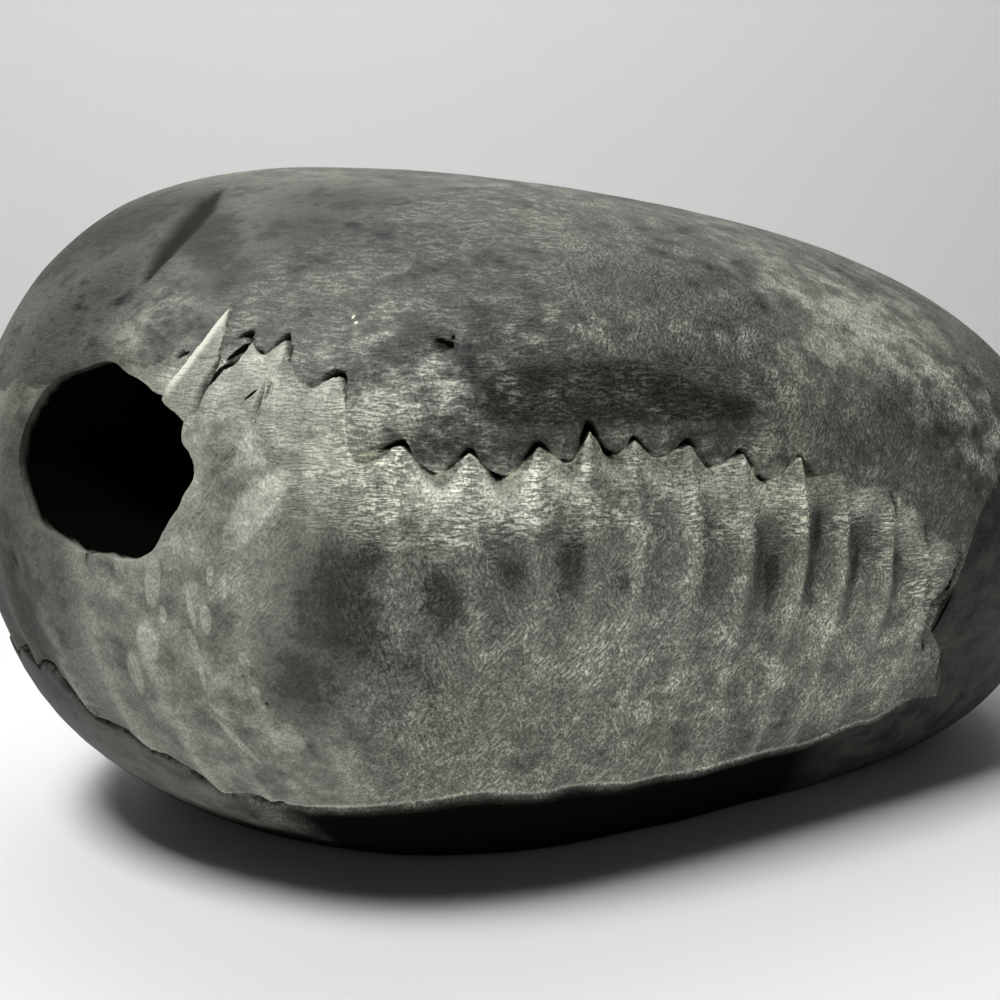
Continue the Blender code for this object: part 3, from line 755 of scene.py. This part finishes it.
# Masks of the mesh that the material reads
MASK_NAMES = ("dark", "groove", "flake", "flake_edge_highlight", "rim", "rim_edge", "band", "valley", "ribshade",
              "crest", "shade", "light", "polish", "matrix", "calm", "inside", "cloud", "low", "edge",
              "lay", "warp", "patch", "rib_flank_shade", "painted_light")
# Sizes in mm of the mottling and the grit, the bending of the strokes in mm, and the strokes
# across the stone, rising and falling: sizes in mm, tilt and turn in degrees
MOTTLE_SIZES = (2.4, 2.4, 2.0)
GRIT_SIZES = (0.16, 0.16, 0.16)
STROKE_WAVE = (0.10, 0.0, 0.22)
STROKES = (((0.85, 0.5, 0.155), 3, -30), ((0.56, 0.45, 0.17), -50, -22), ((0.50, 0.45, 0.17), 72, -25))
# Tones of the plain stone and the flake, what the band adds, and how the tone is tinted
STONE_TONE = 0.093
FLAKE_TONE = 0.26
BAND_TONE = 0.158
GREEN_TINT = 1.01
BLUE_TINT = 0.845
# The dark polished patch above the teeth, its outline as (azimuth, elevation)
POLISHED = ((-39.1, 16.6), (-38.4, 19.2), (-33.5, 21.3), (-21.9, 22.6), (-10.6, 20.0), (-1.1, 17.4),
            (-3.6, 14.6), (-13.0, 15.2), (-20.2, 14.9), (-29.9, 14.3), (-36.0, 14.2))
# The edge of the dark end stone, whose tone is partly its own and partly painted shade where it faces
# down and away: elevation and azimuth
RIGHT_EDGE = ((-30, 41.0), (-24, 38.2), (-20, 35.6), (-17, 32.4), (-13.6, 33.2), (-11, 34.6),
              (-6.8, 35.6), (-2.8, 36.8), (-0.6, 38.3), (1.5, 40.5), (5, 46.0), (12, 60.0))


def patch_sum(patches, azimuth, elevation):
    """The sum of soft ellipses, each 1 in its middle and 0.5 at its half sizes."""
    total = np.zeros(len(azimuth))
    for a, e, across, up, tilt, strength in patches:
        da = (azimuth - a + 180) % 360 - 180
        de = elevation - e
        c, s = math.cos(math.radians(tilt)), math.sin(math.radians(tilt))
        u = (da * c + de * s) / across
        v = (-da * s + de * c) / up
        total = np.maximum(total, strength * 2.0 ** (-(u * u + v * v)))
    return total


def paint_masks(azimuth, elevation, masks):
    """Adds the soft colour patches with their painted light and shade, the end stone and the calm
    stretches to the masks.
    """
    masks["shade"] = patch_sum(DARK_PATCHES, azimuth, elevation)
    masks["light"] = patch_sum(PALE_PATCHES, azimuth, elevation)
    masks["polish"] = smooth(-1.5, 1.3, inside_outline(POLISHED, azimuth, elevation))
    masks["painted_light"] = patch_sum(BROAD_PAINTED_LIGHT, azimuth, elevation)
    edge = np.interp(elevation, *np.array(RIGHT_EDGE, float).T)
    right = smooth(-0.2, 0.9, azimuth - edge) * smooth(15, 6, elevation) * smooth(112, 88, azimuth)
    # The dark end stone and the underside at its right: dark stone with painted shade
    masks["matrix"] = np.maximum(right, masks.pop("under"))
    left = smooth(-46, -54, azimuth) * smooth(-120, -95, azimuth)
    left = left * np.maximum(masks["band"], smooth(-64, -70, azimuth))
    shoulder = smooth(2, 14, azimuth) * smooth(75, 55, azimuth) * smooth(13, 20, elevation)
    masks["calm"] = np.maximum(left, 0.6 * shoulder)


def column_azimuths():
    """Azimuths of the mesh's columns: a multiple of four, closer together on the front."""
    azimuths, lengths = GIRDLE
    steps = np.interp(azimuths, *np.array(COLUMN_STEPS, float).T)
    density = np.diff(lengths) / (0.5 * (steps[1:] + steps[:-1]))
    total = np.concatenate(((0.0,), np.cumsum(density)))
    count = 4 * int(round(total[-1] / 4))
    return np.interp(np.arange(count) * total[-1] / count, total, azimuths)


def foot_elevations(azimuth, start):
    """Elevations at which the worn surface reaches the ground."""
    high = start.copy()
    low = np.full(len(azimuth), -89.0)
    for _ in range(40):
        middle = (high + low) / 2
        directions = facing(azimuth, middle)
        above = CENTRE[2] + directions[:, 2] * worn_radius(directions) > 0
        high = np.where(above, middle, high)
        low = np.where(above, low, middle)
    return (high + low) / 2


def stone_rings():
    """Rings of (azimuths, elevations) from the top of the stone to the ground."""
    columns = column_azimuths()
    top, _ = upper_suture(columns)
    bottom, _ = lower_suture(columns)
    kernel = np.hanning(41)
    kernel /= kernel.sum()
    grid = np.linspace(FIRST_AZIMUTH, LAST_AZIMUTH, 1441)
    level = np.convolve(np.pad(upper_suture(grid)[0], 20, mode="wrap"), kernel, mode="valid")
    guide = np.maximum(np.interp(columns, grid, level), top - 2.5)
    per_degree = np.radians(worn_radius(facing(columns, guide)))
    cap_start = guide + 7.2 / per_degree
    rings = []
    for part, step in [(f, 4) for f in QUARTER_RINGS] + [(f, 2) for f in HALF_RINGS]:
        rings.append((columns[::step], (cap_start + (90 - cap_start) * part)[::step]))
    width = (top - bottom) * per_degree
    scale = np.clip(width / 9.0, 0.06, 1.0)
    upward = (cap_start - top) * per_degree / (ABOVE_OFFSETS[0] + 0.9)
    for offset in ABOVE_OFFSETS:
        blend = min(1.0, offset / 2.0)
        stretch = 1 + (upward - 1) * blend
        rings.append((columns, top + offset * stretch / per_degree))
    for offset in BELOW_OFFSETS:
        rings.append((columns, top - offset * scale / per_degree))
    start = top - BELOW_OFFSETS[-1] * scale / per_degree
    end = bottom + LOW_ABOVE_OFFSETS[0] * scale / per_degree
    for k in range(1, MIDDLE_RINGS + 1):
        rings.append((columns, start + (end - start) * k / (MIDDLE_RINGS + 1)))
    for offset in LOW_ABOVE_OFFSETS:
        rings.append((columns, bottom + offset * scale / per_degree))
    for offset in LOW_BELOW_OFFSETS:
        rings.append((columns, bottom - offset * scale / per_degree))
    base_start = bottom - LOW_BELOW_OFFSETS[-1] * scale / per_degree
    feet = foot_elevations(columns, base_start)
    for part in BASE_RINGS:
        rings.append((columns[::2], (base_start + (feet - base_start) * part)[::2]))
    for part in FLOOR_RINGS:
        rings.append((columns[::4], (-90 + (feet + 90) * part)[::4]))
    return rings


def joined_faces(upper, lower):
    """Faces between two closed rings of vertex numbers, equal or one twice the other."""
    n, m = len(upper), len(lower)
    faces = []
    if n == m:
        for i in range(n):
            j = (i + 1) % n
            faces.append((upper[i], lower[i], lower[j], upper[j]))
        return faces
    coarse = min(n, m)
    for k in range(coarse):
        j = (k + 1) % coarse
        if n < m:
            a, b, c = lower[2 * k], lower[2 * k + 1], lower[(2 * k + 2) % m]
            faces += [(upper[k], a, b), (upper[k], b, upper[j]), (upper[j], b, c)]
        else:
            a, b, c = upper[2 * k], upper[2 * k + 1], upper[(2 * k + 2) % n]
            faces += [(a, lower[k], b), (b, lower[k], lower[j]), (b, lower[j], c)]
    return faces


def new_mesh(name, points, faces):
    """A mesh object from points in mm."""
    data = bpy.data.meshes.new(name)
    data.from_pydata([tuple(p) for p in np.asarray(points) * MM], [], faces)
    data.update()
    thing = bpy.data.objects.new(name, data)
    bpy.context.scene.collection.objects.link(thing)
    return thing


def stone_object():
    """The whole stone with its sutures, ribs and marks, before the chamber is cut."""
    rings = stone_rings()
    azimuth = np.concatenate([r[0] for r in rings])
    elevation = np.concatenate([r[1] for r in rings])
    sink, _ = relief(azimuth, elevation)
    points = surface(azimuth, elevation, sink)
    starts = np.cumsum([0] + [len(r[0]) for r in rings])
    numbers = [list(range(a, b)) for a, b in zip(starts, starts[1:])]
    faces = []
    for upper, lower in zip(numbers, numbers[1:]):
        faces += joined_faces(upper, lower)
    poles = surface(np.zeros(2), np.array((90.0, -90.0)), np.array((sink[:10].mean(), 0.0)))
    top, foot = len(points), len(points) + 1
    first, last = numbers[0], numbers[-1]
    for i in range(len(first)):
        faces.append((top, first[i], first[(i + 1) % len(first)]))
        faces.append((foot, last[(i + 1) % len(last)], last[i]))
    return new_mesh(NODE + "_stone", np.concatenate((points, poles)), faces)


def chamber_object():
    """The space of the living chamber, with faint ribs on its walls."""
    angles = np.arange(CHAMBER_SIDES) * 2 * np.pi / CHAMBER_SIDES
    outline = mouth_radius(angles)
    centre = MOUTH_CENTRE + facing(*AXIS_AT_MOUTH) * CHAMBER_START
    length = CHAMBER_START + CHAMBER_DEPTH
    points = []
    done = 0.0
    for level in range(CHAMBER_RINGS):
        s = level / (CHAMBER_RINGS - 1)
        reach = length * np.interp(s, (0.0, 0.1, 0.6, 1.0), (0.0, 0.1, 0.38, 1.0))
        inside = max(0.0, (reach - CHAMBER_START) / CHAMBER_DEPTH)
        azimuth = AXIS_AT_MOUTH[0] + (AXIS_AT_END[0] - AXIS_AT_MOUTH[0]) * inside
        outward = facing(azimuth, AXIS_AT_MOUTH[1])
        centre = centre - outward * (reach - done)
        done = reach
        across = np.cross((0, 0, 1.0), outward)
        across /= np.linalg.norm(across)
        up = np.cross(outward, across)
        size = (1 - CHAMBER_TAPER * inside) * math.sqrt(1 - (0.93 * inside) ** 6)
        radius = size * (outline + (CHAMBER_END_RADIUS - outline) * inside)
        rib = 0.5 + 0.5 * math.cos(reach * 2 * math.pi / CHAMBER_RIB_STEP)
        radius = radius - CHAMBER_RIB_HEIGHT * rib * (inside > 0.02)
        sideways = across * (radius * np.cos(angles))[:, None]
        points.append(centre + (sideways + up * (radius * np.sin(angles))[:, None]))
    starts = range(0, CHAMBER_RINGS * CHAMBER_SIDES, CHAMBER_SIDES)
    numbers = [list(range(k, k + CHAMBER_SIDES)) for k in starts]
    faces = []
    for near, far in zip(numbers, numbers[1:]):
        faces += [tuple(reversed(f)) for f in joined_faces(near, far)]
    faces.append(tuple(numbers[0]))
    faces.append(tuple(reversed(numbers[-1])))
    return new_mesh(NODE + "_chamber", np.concatenate(points), faces)


def face_outward(thing):
    """Turns a closed mesh's faces outward."""
    bpy.context.view_layer.objects.active = thing
    thing.select_set(True)
    bpy.ops.object.mode_set(mode="EDIT")
    bpy.ops.mesh.select_all(action="SELECT")
    bpy.ops.mesh.normals_make_consistent(inside=False)
    bpy.ops.object.mode_set(mode="OBJECT")
    thing.select_set(False)


def cut_chamber(stone, chamber):
    """Takes the chamber's space out of the stone, as one applied mesh."""
    modifier = stone.modifiers.new("chamber", "BOOLEAN")
    modifier.operation = "DIFFERENCE"
    modifier.solver = "EXACT"
    modifier.material_mode = "TRANSFER"
    modifier.object = chamber
    bpy.context.view_layer.update()
    evaluated = stone.evaluated_get(bpy.context.evaluated_depsgraph_get())
    data = bpy.data.meshes.new_from_object(evaluated)
    data.name = NODE + "_visual"
    bpy.data.objects.remove(chamber, do_unlink=True)
    stone.modifiers.clear()
    uncut = stone.data
    stone.data = data
    bpy.data.meshes.remove(uncut)
    stone.name = NODE + "_visual"


def write_masks(stone):
    """Stores the masks that the material reads on the finished mesh."""
    data = stone.data
    count = len(data.vertices)
    flat = np.empty(count * 3)
    data.vertices.foreach_get("co", flat)
    points = flat.reshape(-1, 3) / MM
    offset = points - CENTRE
    length = np.linalg.norm(offset, axis=1)
    azimuth = np.degrees(np.arctan2(offset[:, 0], -offset[:, 1]))
    azimuth = np.where(azimuth > LAST_AZIMUTH, azimuth - 360, azimuth)
    elevation = np.degrees(np.arcsin(np.clip(offset[:, 2] / length, -1, 1)))
    _, masks = relief(azimuth, elevation)
    paint_masks(azimuth, elevation, masks)
    depth = worn_radius(offset / length[:, None]) - length
    # The chamber's walls, painted black as the shade inside it
    masks["inside"] = smooth(0.75, 1.0, depth) * (points[:, 2] > 1.0)
    masks["inside"] *= np.maximum(smooth(0.25, 0.0, mouth_distance(points)[0]), smooth(2.0, 3.0, depth))
    masks["warp"] = low_noise(points, *WARP_NOISE)
    masks["patch"] = smooth(-0.12, 0.12, low_noise(points, *PATCH_NOISE))
    masks["cloud"] = low_noise(points, *CLOUD_NOISE)
    for name, values in masks.items():
        attribute = data.attributes.new(name, "FLOAT", "POINT")
        attribute.data.foreach_set("value", np.ascontiguousarray(values, dtype=np.float32))


class Nodes:
    """Small helpers that add and link shader nodes."""

    def __init__(self, name):
        self.material = bpy.data.materials.new(name)
        self.material.use_nodes = True
        self.tree = self.material.node_tree
        self.shader = self.tree.nodes["Principled BSDF"]
        self.position = self.add("ShaderNodeTexCoord").outputs["Object"]
        self.wavy = self.position

    def add(self, kind, **settings):
        node = self.tree.nodes.new(kind)
        for name, value in settings.items():
            setattr(node, name, value)
        return node

    def put(self, socket, value):
        if isinstance(value, bpy.types.NodeSocket):
            self.tree.links.new(value, socket)
        else:
            socket.default_value = value

    def attribute(self, name):
        return self.add("ShaderNodeAttribute", attribute_name=name).outputs["Fac"]

    def math(self, operation, *values):
        """An operation on the first value and the second, then on its result and the third."""
        result = values[0]
        for value in values[1:]:
            node = self.add("ShaderNodeMath", operation=operation)
            self.put(node.inputs[0], result)
            self.put(node.inputs[1], value)
            result = node.outputs[0]
        return result

    def times(self, *values):
        return self.math("MULTIPLY", *values)

    def plus(self, *values):
        return self.math("ADD", *values)

    def most(self, *values):
        return self.math("MAXIMUM", *values)

    def absolute(self, value):
        node = self.add("ShaderNodeMath", operation="ABSOLUTE")
        self.put(node.inputs[0], value)
        return node.outputs[0]

    def less(self, amount, *values):
        """1 less an amount of the product of values."""
        return self.plus(1.0, self.times(*values, -amount))

    def step(self, value, low, high, to_low=0.0, to_high=1.0):
        node = self.add("ShaderNodeMapRange", interpolation_type="SMOOTHSTEP")
        for name, v in (("Value", value), ("From Min", low), ("From Max", high),
                        ("To Min", to_low), ("To Max", to_high)):
            self.put(node.inputs[name], v)
        return node.outputs["Result"]

    def wave(self, amount, offset_mm):
        """Places that strokes are laid on, moved by an amount along an offset."""
        scaled = self.add("ShaderNodeVectorMath", operation="SCALE")
        scaled.inputs["Vector"].default_value = [o * MM for o in offset_mm]
        self.put(scaled.inputs["Scale"], amount)
        moved = self.add("ShaderNodeVectorMath", operation="ADD")
        self.put(moved.inputs[0], self.position)
        self.put(moved.inputs[1], scaled.outputs["Vector"])
        self.wavy = moved.outputs["Vector"]

    def laid(self, sizes_mm, tilt=0.0, turn=0.0):
        """Places scaled by a size along, into and up the surface, tilted and turned in degrees."""
        place = self.add("ShaderNodeMapping", vector_type="TEXTURE")
        self.put(place.inputs["Vector"], self.wavy)
        place.inputs["Rotation"].default_value = (0.0, math.radians(tilt), math.radians(turn))
        place.inputs["Scale"].default_value = [size * MM for size in sizes_mm]
        return place.outputs["Vector"]

    def either(self, factor, a, b):
        """Place a where the factor is up to a half, and place b elsewhere."""
        node = self.add("ShaderNodeMix", data_type="VECTOR")
        self.put(node.inputs[0], self.math("GREATER_THAN", factor, 0.5))
        self.put(node.inputs[4], a)
        self.put(node.inputs[5], b)
        return node.outputs[1]

    def noise(self, place, detail=0.0, rough=0.5):
        node = self.add("ShaderNodeTexNoise")
        self.put(node.inputs["Vector"], place)
        node.inputs["Scale"].default_value = 1.0
        node.inputs["Detail"].default_value = detail
        node.inputs["Roughness"].default_value = rough
        return node.outputs["Fac"]

    def spots(self, marks, uneven, inner, outer):
        """1 on small leaning ellipses at places of the surface, with an uneven edge."""
        found = 0.0
        for azimuth, elevation, across, up, lean in marks:
            centre = surface(np.array(float(azimuth)), np.array(float(elevation)))
            place = self.add("ShaderNodeMapping", vector_type="TEXTURE")
            self.put(place.inputs["Vector"], self.position)
            place.inputs["Location"].default_value = [c * MM for c in centre]
            place.inputs["Rotation"].default_value = (0.0, math.radians(lean), math.radians(azimuth))
            place.inputs["Scale"].default_value = [across * MM, SPOT_DEPTH * MM, up * MM]
            length = self.add("ShaderNodeVectorMath", operation="LENGTH")
            self.put(length.inputs[0], place.outputs["Vector"])
            away = self.plus(length.outputs["Value"], uneven)
            found = self.most(found, self.step(away, inner, outer, 1.0, 0.0))
        return found

    def mix(self, factor, a, b):
        node = self.add("ShaderNodeMix", data_type="FLOAT")
        self.put(node.inputs["Factor"], factor)
        self.put(node.inputs["A"], a)
        self.put(node.inputs["B"], b)
        return node.outputs["Result"]


def stone_pattern(n, mask):
    """Sockets of the stone's fine pattern and of its patches, with ragged edges."""
    mottle = n.noise(n.laid(MOTTLE_SIZES), 4.0, 0.68)
    grit = n.noise(n.laid(GRIT_SIZES))
    n.wave(mask["warp"], STROKE_WAVE)
    across, rising, falling = [n.laid(*stroke) for stroke in STROKES]
    uneven = n.plus(n.times(mask["warp"], 0.3), n.times(mask["cloud"], 0.2))
    lay = n.step(n.plus(mask["lay"], uneven), 0.3, 0.75)
    woven = n.noise(n.either(lay, n.either(mask["patch"], rising, falling), across), 1.0, 0.8)
    strokes = n.step(woven, 0.34, 0.66)
    fibres = n.plus(strokes, -0.5)
    ragged = n.plus(mottle, n.times(mask["cloud"], 0.10), -0.5)
    more_ragged = n.times(ragged, 2.3)
    less_ragged = n.times(ragged, 1.2)
    return SimpleNamespace(
        mottle=mottle, grit=grit, lay=lay, strokes=strokes, fibres=fibres,
        mottled=n.plus(mottle, -0.5),
        gritty=n.plus(grit, -0.5),
        scratch=n.step(n.absolute(n.plus(woven, -0.47)), 0.012, 0.05, 1.0, 0.0),
        shade=n.step(n.plus(mask["shade"], more_ragged), 0.3, 0.95),
        light=n.step(n.plus(mask["light"], more_ragged), 0.2, 1.05),
        oval=n.spots(PALE_OVALS, less_ragged, 0.85, 1.1),
        grain=n.spots(PALE_GRAINS, 0.0, 0.8, 1.1),
        black=n.spots(BLACK_HOLLOW_SHADE, less_ragged, 0.7, 1.05),
        polish=n.step(n.plus(mask["polish"], n.times(ragged, 1.9), n.times(fibres, 0.3)), 0.3, 0.75),
        matrix=n.step(n.plus(mask["matrix"], n.times(ragged, 0.5)), 0.35, 0.65),
    )


def paint_colour(n, mask, part):
    """Builds the tone up from the plain stone, dims it, adds the strokes and lays the marks and the
    painted shade and highlights on.
    """
    tone = n.plus(STONE_TONE, n.times(mask["cloud"], 0.045))
    tone = n.plus(tone, n.times(part.mottled, n.plus(0.38, n.times(mask["band"], 0.42))))
    tone = n.plus(tone, n.times(mask["band"], n.plus(BAND_TONE, n.times(mask["crest"], 0.13))),
                  n.times(part.light, 0.24), n.times(part.oval, 0.16), n.times(mask["painted_light"], 0.10))
    tone = n.plus(tone, n.times(mask["valley"], 0.42), n.times(mask["edge"], 0.40))

    dimmed = n.times(n.less(0.74, part.shade), n.less(0.55, part.polish))
    dimmed = n.times(dimmed, n.less(0.62, mask["ribshade"], n.step(part.mottle, 0.2, 0.5)))
    dimmed = n.times(dimmed, n.less(0.72, mask["rib_flank_shade"], n.step(part.mottle, 0.2, 0.5)))
    tone = n.times(tone, dimmed)

    amount = n.plus(0.40, n.times(mask["band"], part.lay, 0.26), n.times(part.polish, 0.25))
    amount = n.times(amount, n.step(part.mottle, 0.36, 0.62, 0.45, 1.4))
    amount = n.times(amount, n.less(0.85, mask["valley"]), n.less(0.72, mask["calm"]))
    tone = n.times(tone, n.plus(1.0, n.times(part.fibres, amount, 1.5)))
    lines = n.plus(0.30, n.times(part.polish, 0.25), n.times(mask["calm"], -0.22),
                   n.times(mask["valley"], -0.2))
    tone = n.times(tone, n.less(1.0, part.scratch, lines))
    grain = n.plus(1.7, n.times(mask["calm"], -0.8))
    tone = n.times(tone, n.plus(1.0, n.times(part.gritty, grain)))

    matrix = n.most(0.006, n.plus(-0.052, n.times(part.mottle, 0.17)))
    flake = n.plus(FLAKE_TONE, n.times(part.mottled, 0.3), n.times(part.gritty, 0.3))
    # Laid on last: the dark end stone with its painted shade, and painted shade on the underside, in the
    # groove, on the rim, in the pits, gaps and cracks and in the chamber; the pale flake with a painted
    # highlight on its edge, the pale rim line and the pale grains
    for where, laid_on in (
            (part.matrix, matrix), (mask["low"], 0.003), (n.times(mask["groove"], 0.92), 0.018),
            (mask["flake"], flake), (mask["flake_edge_highlight"], 0.62), (n.times(mask["rim"], 0.5), 0.02),
            (n.times(mask["rim_edge"], 0.5), 0.36), (part.grain, 0.65), (part.black, 0.004),
            (mask["dark"], 0.003), (mask["inside"], 0.002)):
        tone = n.mix(where, tone, laid_on)
    tone = n.most(tone, 0.002)

    colour = n.add("ShaderNodeCombineColor")
    n.put(colour.inputs["Red"], tone)
    n.put(colour.inputs["Green"], n.times(tone, GREEN_TINT))
    n.put(colour.inputs["Blue"], n.times(tone, n.plus(BLUE_TINT, n.times(mask["cloud"], -0.03))))
    n.put(n.shader.inputs["Base Color"], colour.outputs["Color"])


def paint_sheen(n, mask, part):
    """A satin sheen, which the black and the dark places lack."""
    rough = n.plus(0.42, n.times(part.grit, 0.22), n.times(part.mottle, 0.12))
    rough = n.plus(rough, n.times(part.polish, -0.14), n.times(mask["valley"], -0.12))
    pitch = n.most(mask["dark"], mask["inside"], n.times(mask["low"], 0.92), part.black,
                   n.times(mask["groove"], 0.9))
    n.put(n.shader.inputs["Roughness"], n.mix(pitch, rough, 0.98))
    dull = n.most(n.times(part.matrix, 0.5), n.times(part.shade, 0.35))
    n.put(n.shader.inputs["Specular IOR Level"], n.mix(n.most(pitch, dull), 0.30, 0.0))


def paint_bump(n, mask, part):
    """The fine relief of the strokes and the grit, in mm."""
    height = n.times(part.strokes, n.plus(0.024, n.times(mask["band"], 0.022)))
    height = n.plus(height, n.times(part.grit, 0.022))
    height = n.times(height, n.plus(1.0, n.times(mask["polish"], -0.5), n.times(mask["valley"], -0.6),
                                    n.times(mask["calm"], -0.35)))
    height = n.times(height, n.less(1.0, mask["inside"]))
    bump = n.add("ShaderNodeBump")
    bump.inputs["Strength"].default_value = 1.0
    bump.inputs["Distance"].default_value = MM
    n.put(bump.inputs["Height"], height)
    n.put(n.shader.inputs["Normal"], bump.outputs["Normal"])


def stone_material():
    """Dark grey satin stone: clouds, worn strokes, ribs, the placed patches, and painted light and shade.
    """
    n = Nodes("worn_stone")
    mask = {name: n.attribute(name) for name in MASK_NAMES}
    part = stone_pattern(n, mask)
    paint_colour(n, mask, part)
    paint_sheen(n, mask, part)
    paint_bump(n, mask, part)
    return n.material


def stage_material(name, colour):
    """A plain pale matt surface."""
    material = bpy.data.materials.new(name)
    material.use_nodes = True
    shader = material.node_tree.nodes["Principled BSDF"]
    shader.inputs["Base Color"].default_value = (*colour, 1.0)
    shader.inputs["Roughness"].default_value = STAGE_ROUGHNESS
    return material


def plane(name, corners, material):
    """A flat four-sided stage surface from corners in mm."""
    thing = new_mesh(name, np.array(corners, float), [(0, 1, 2, 3)])
    thing.data.materials.append(material)


def build_stage():
    """The pale table and the pale wall behind it."""
    forward = -facing(CAMERA_AZIMUTH, 0.0)
    side = STAGE_HALF_WIDTH * np.cross(forward, (0, 0, 1.0))
    near = -STAGE_REACH * forward
    far = WALL_DISTANCE * forward
    table = [near - side, near + side, far + side, far - side]
    plane("table", table, stage_material("table_paint", TABLE_COLOUR))
    foot, high = [far + np.array((0, 0, height)) for height in WALL_HEIGHTS]
    wall = [foot - side, foot + side, high + side, high - side]
    plane("wall", wall, stage_material("wall_paint", WALL_COLOUR))


def area_light(name, place, target, size, power):
    """A rectangular soft light in mm, aimed at a target."""
    data = bpy.data.lights.new(name, "AREA")
    data.shape = "RECTANGLE"
    data.size = size[0] * MM
    data.size_y = size[1] * MM
    data.energy = power
    thing = bpy.data.objects.new(name, data)
    thing.location = Vector(place) * MM
    thing.rotation_euler = (Vector(target) - Vector(place)).to_track_quat("-Z", "Y").to_euler()
    bpy.context.scene.collection.objects.link(thing)


def build_lights():
    """Soft light from above, a weaker fill from the front and a wash on the wall."""
    world = bpy.data.worlds.new("studio")
    world.use_nodes = True
    background = world.node_tree.nodes["Background"]
    background.inputs["Color"].default_value = WORLD_COLOUR
    background.inputs["Strength"].default_value = WORLD_STRENGTH
    bpy.context.scene.world = world
    for light in STONE_LIGHTS:
        area_light(*light)
    foot = -facing(CAMERA_AZIMUTH, 0.0) * WALL_DISTANCE
    area_light("wall_wash", foot * 0.5 + np.array((0, 0, 420)), foot + np.array((0, 0, 120)),
               WALL_LIGHT_SIZE, WALL_LIGHT_POWER)


def build_camera():
    """The camera at the photograph's angle."""
    data = bpy.data.cameras.new("camera")
    data.lens = LENS_MM
    data.sensor_width = SENSOR_MM
    data.clip_start = NEAREST_MM * MM
    data.clip_end = FARTHEST_MM * MM
    thing = bpy.data.objects.new("camera", data)
    place = CAMERA_TARGET + facing(CAMERA_AZIMUTH, CAMERA_ELEVATION) * CAMERA_DISTANCE
    thing.location = Vector(place) * MM
    aim = Vector(CAMERA_TARGET - place)
    thing.rotation_euler = aim.to_track_quat("-Z", "Y").to_euler()
    bpy.context.scene.collection.objects.link(thing)
    bpy.context.scene.camera = thing


def build_stone():
    """The fossil: fine mesh, chamber, masks and material."""
    stone = stone_object()
    chamber = chamber_object()
    face_outward(stone)
    face_outward(chamber)
    material = stone_material()
    stone.data.materials.append(material)
    chamber.data.materials.append(material)
    cut_chamber(stone, chamber)
    write_masks(stone)
    stone.data.shade_smooth()
    stone.data.set_sharp_from_angle(angle=math.radians(SHARP_ANGLE))
    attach(stone, "root")
    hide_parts(NODE)


build_stone()
build_stage()
build_lights()
build_camera()
bpy.context.scene.view_settings.view_transform = "Standard"
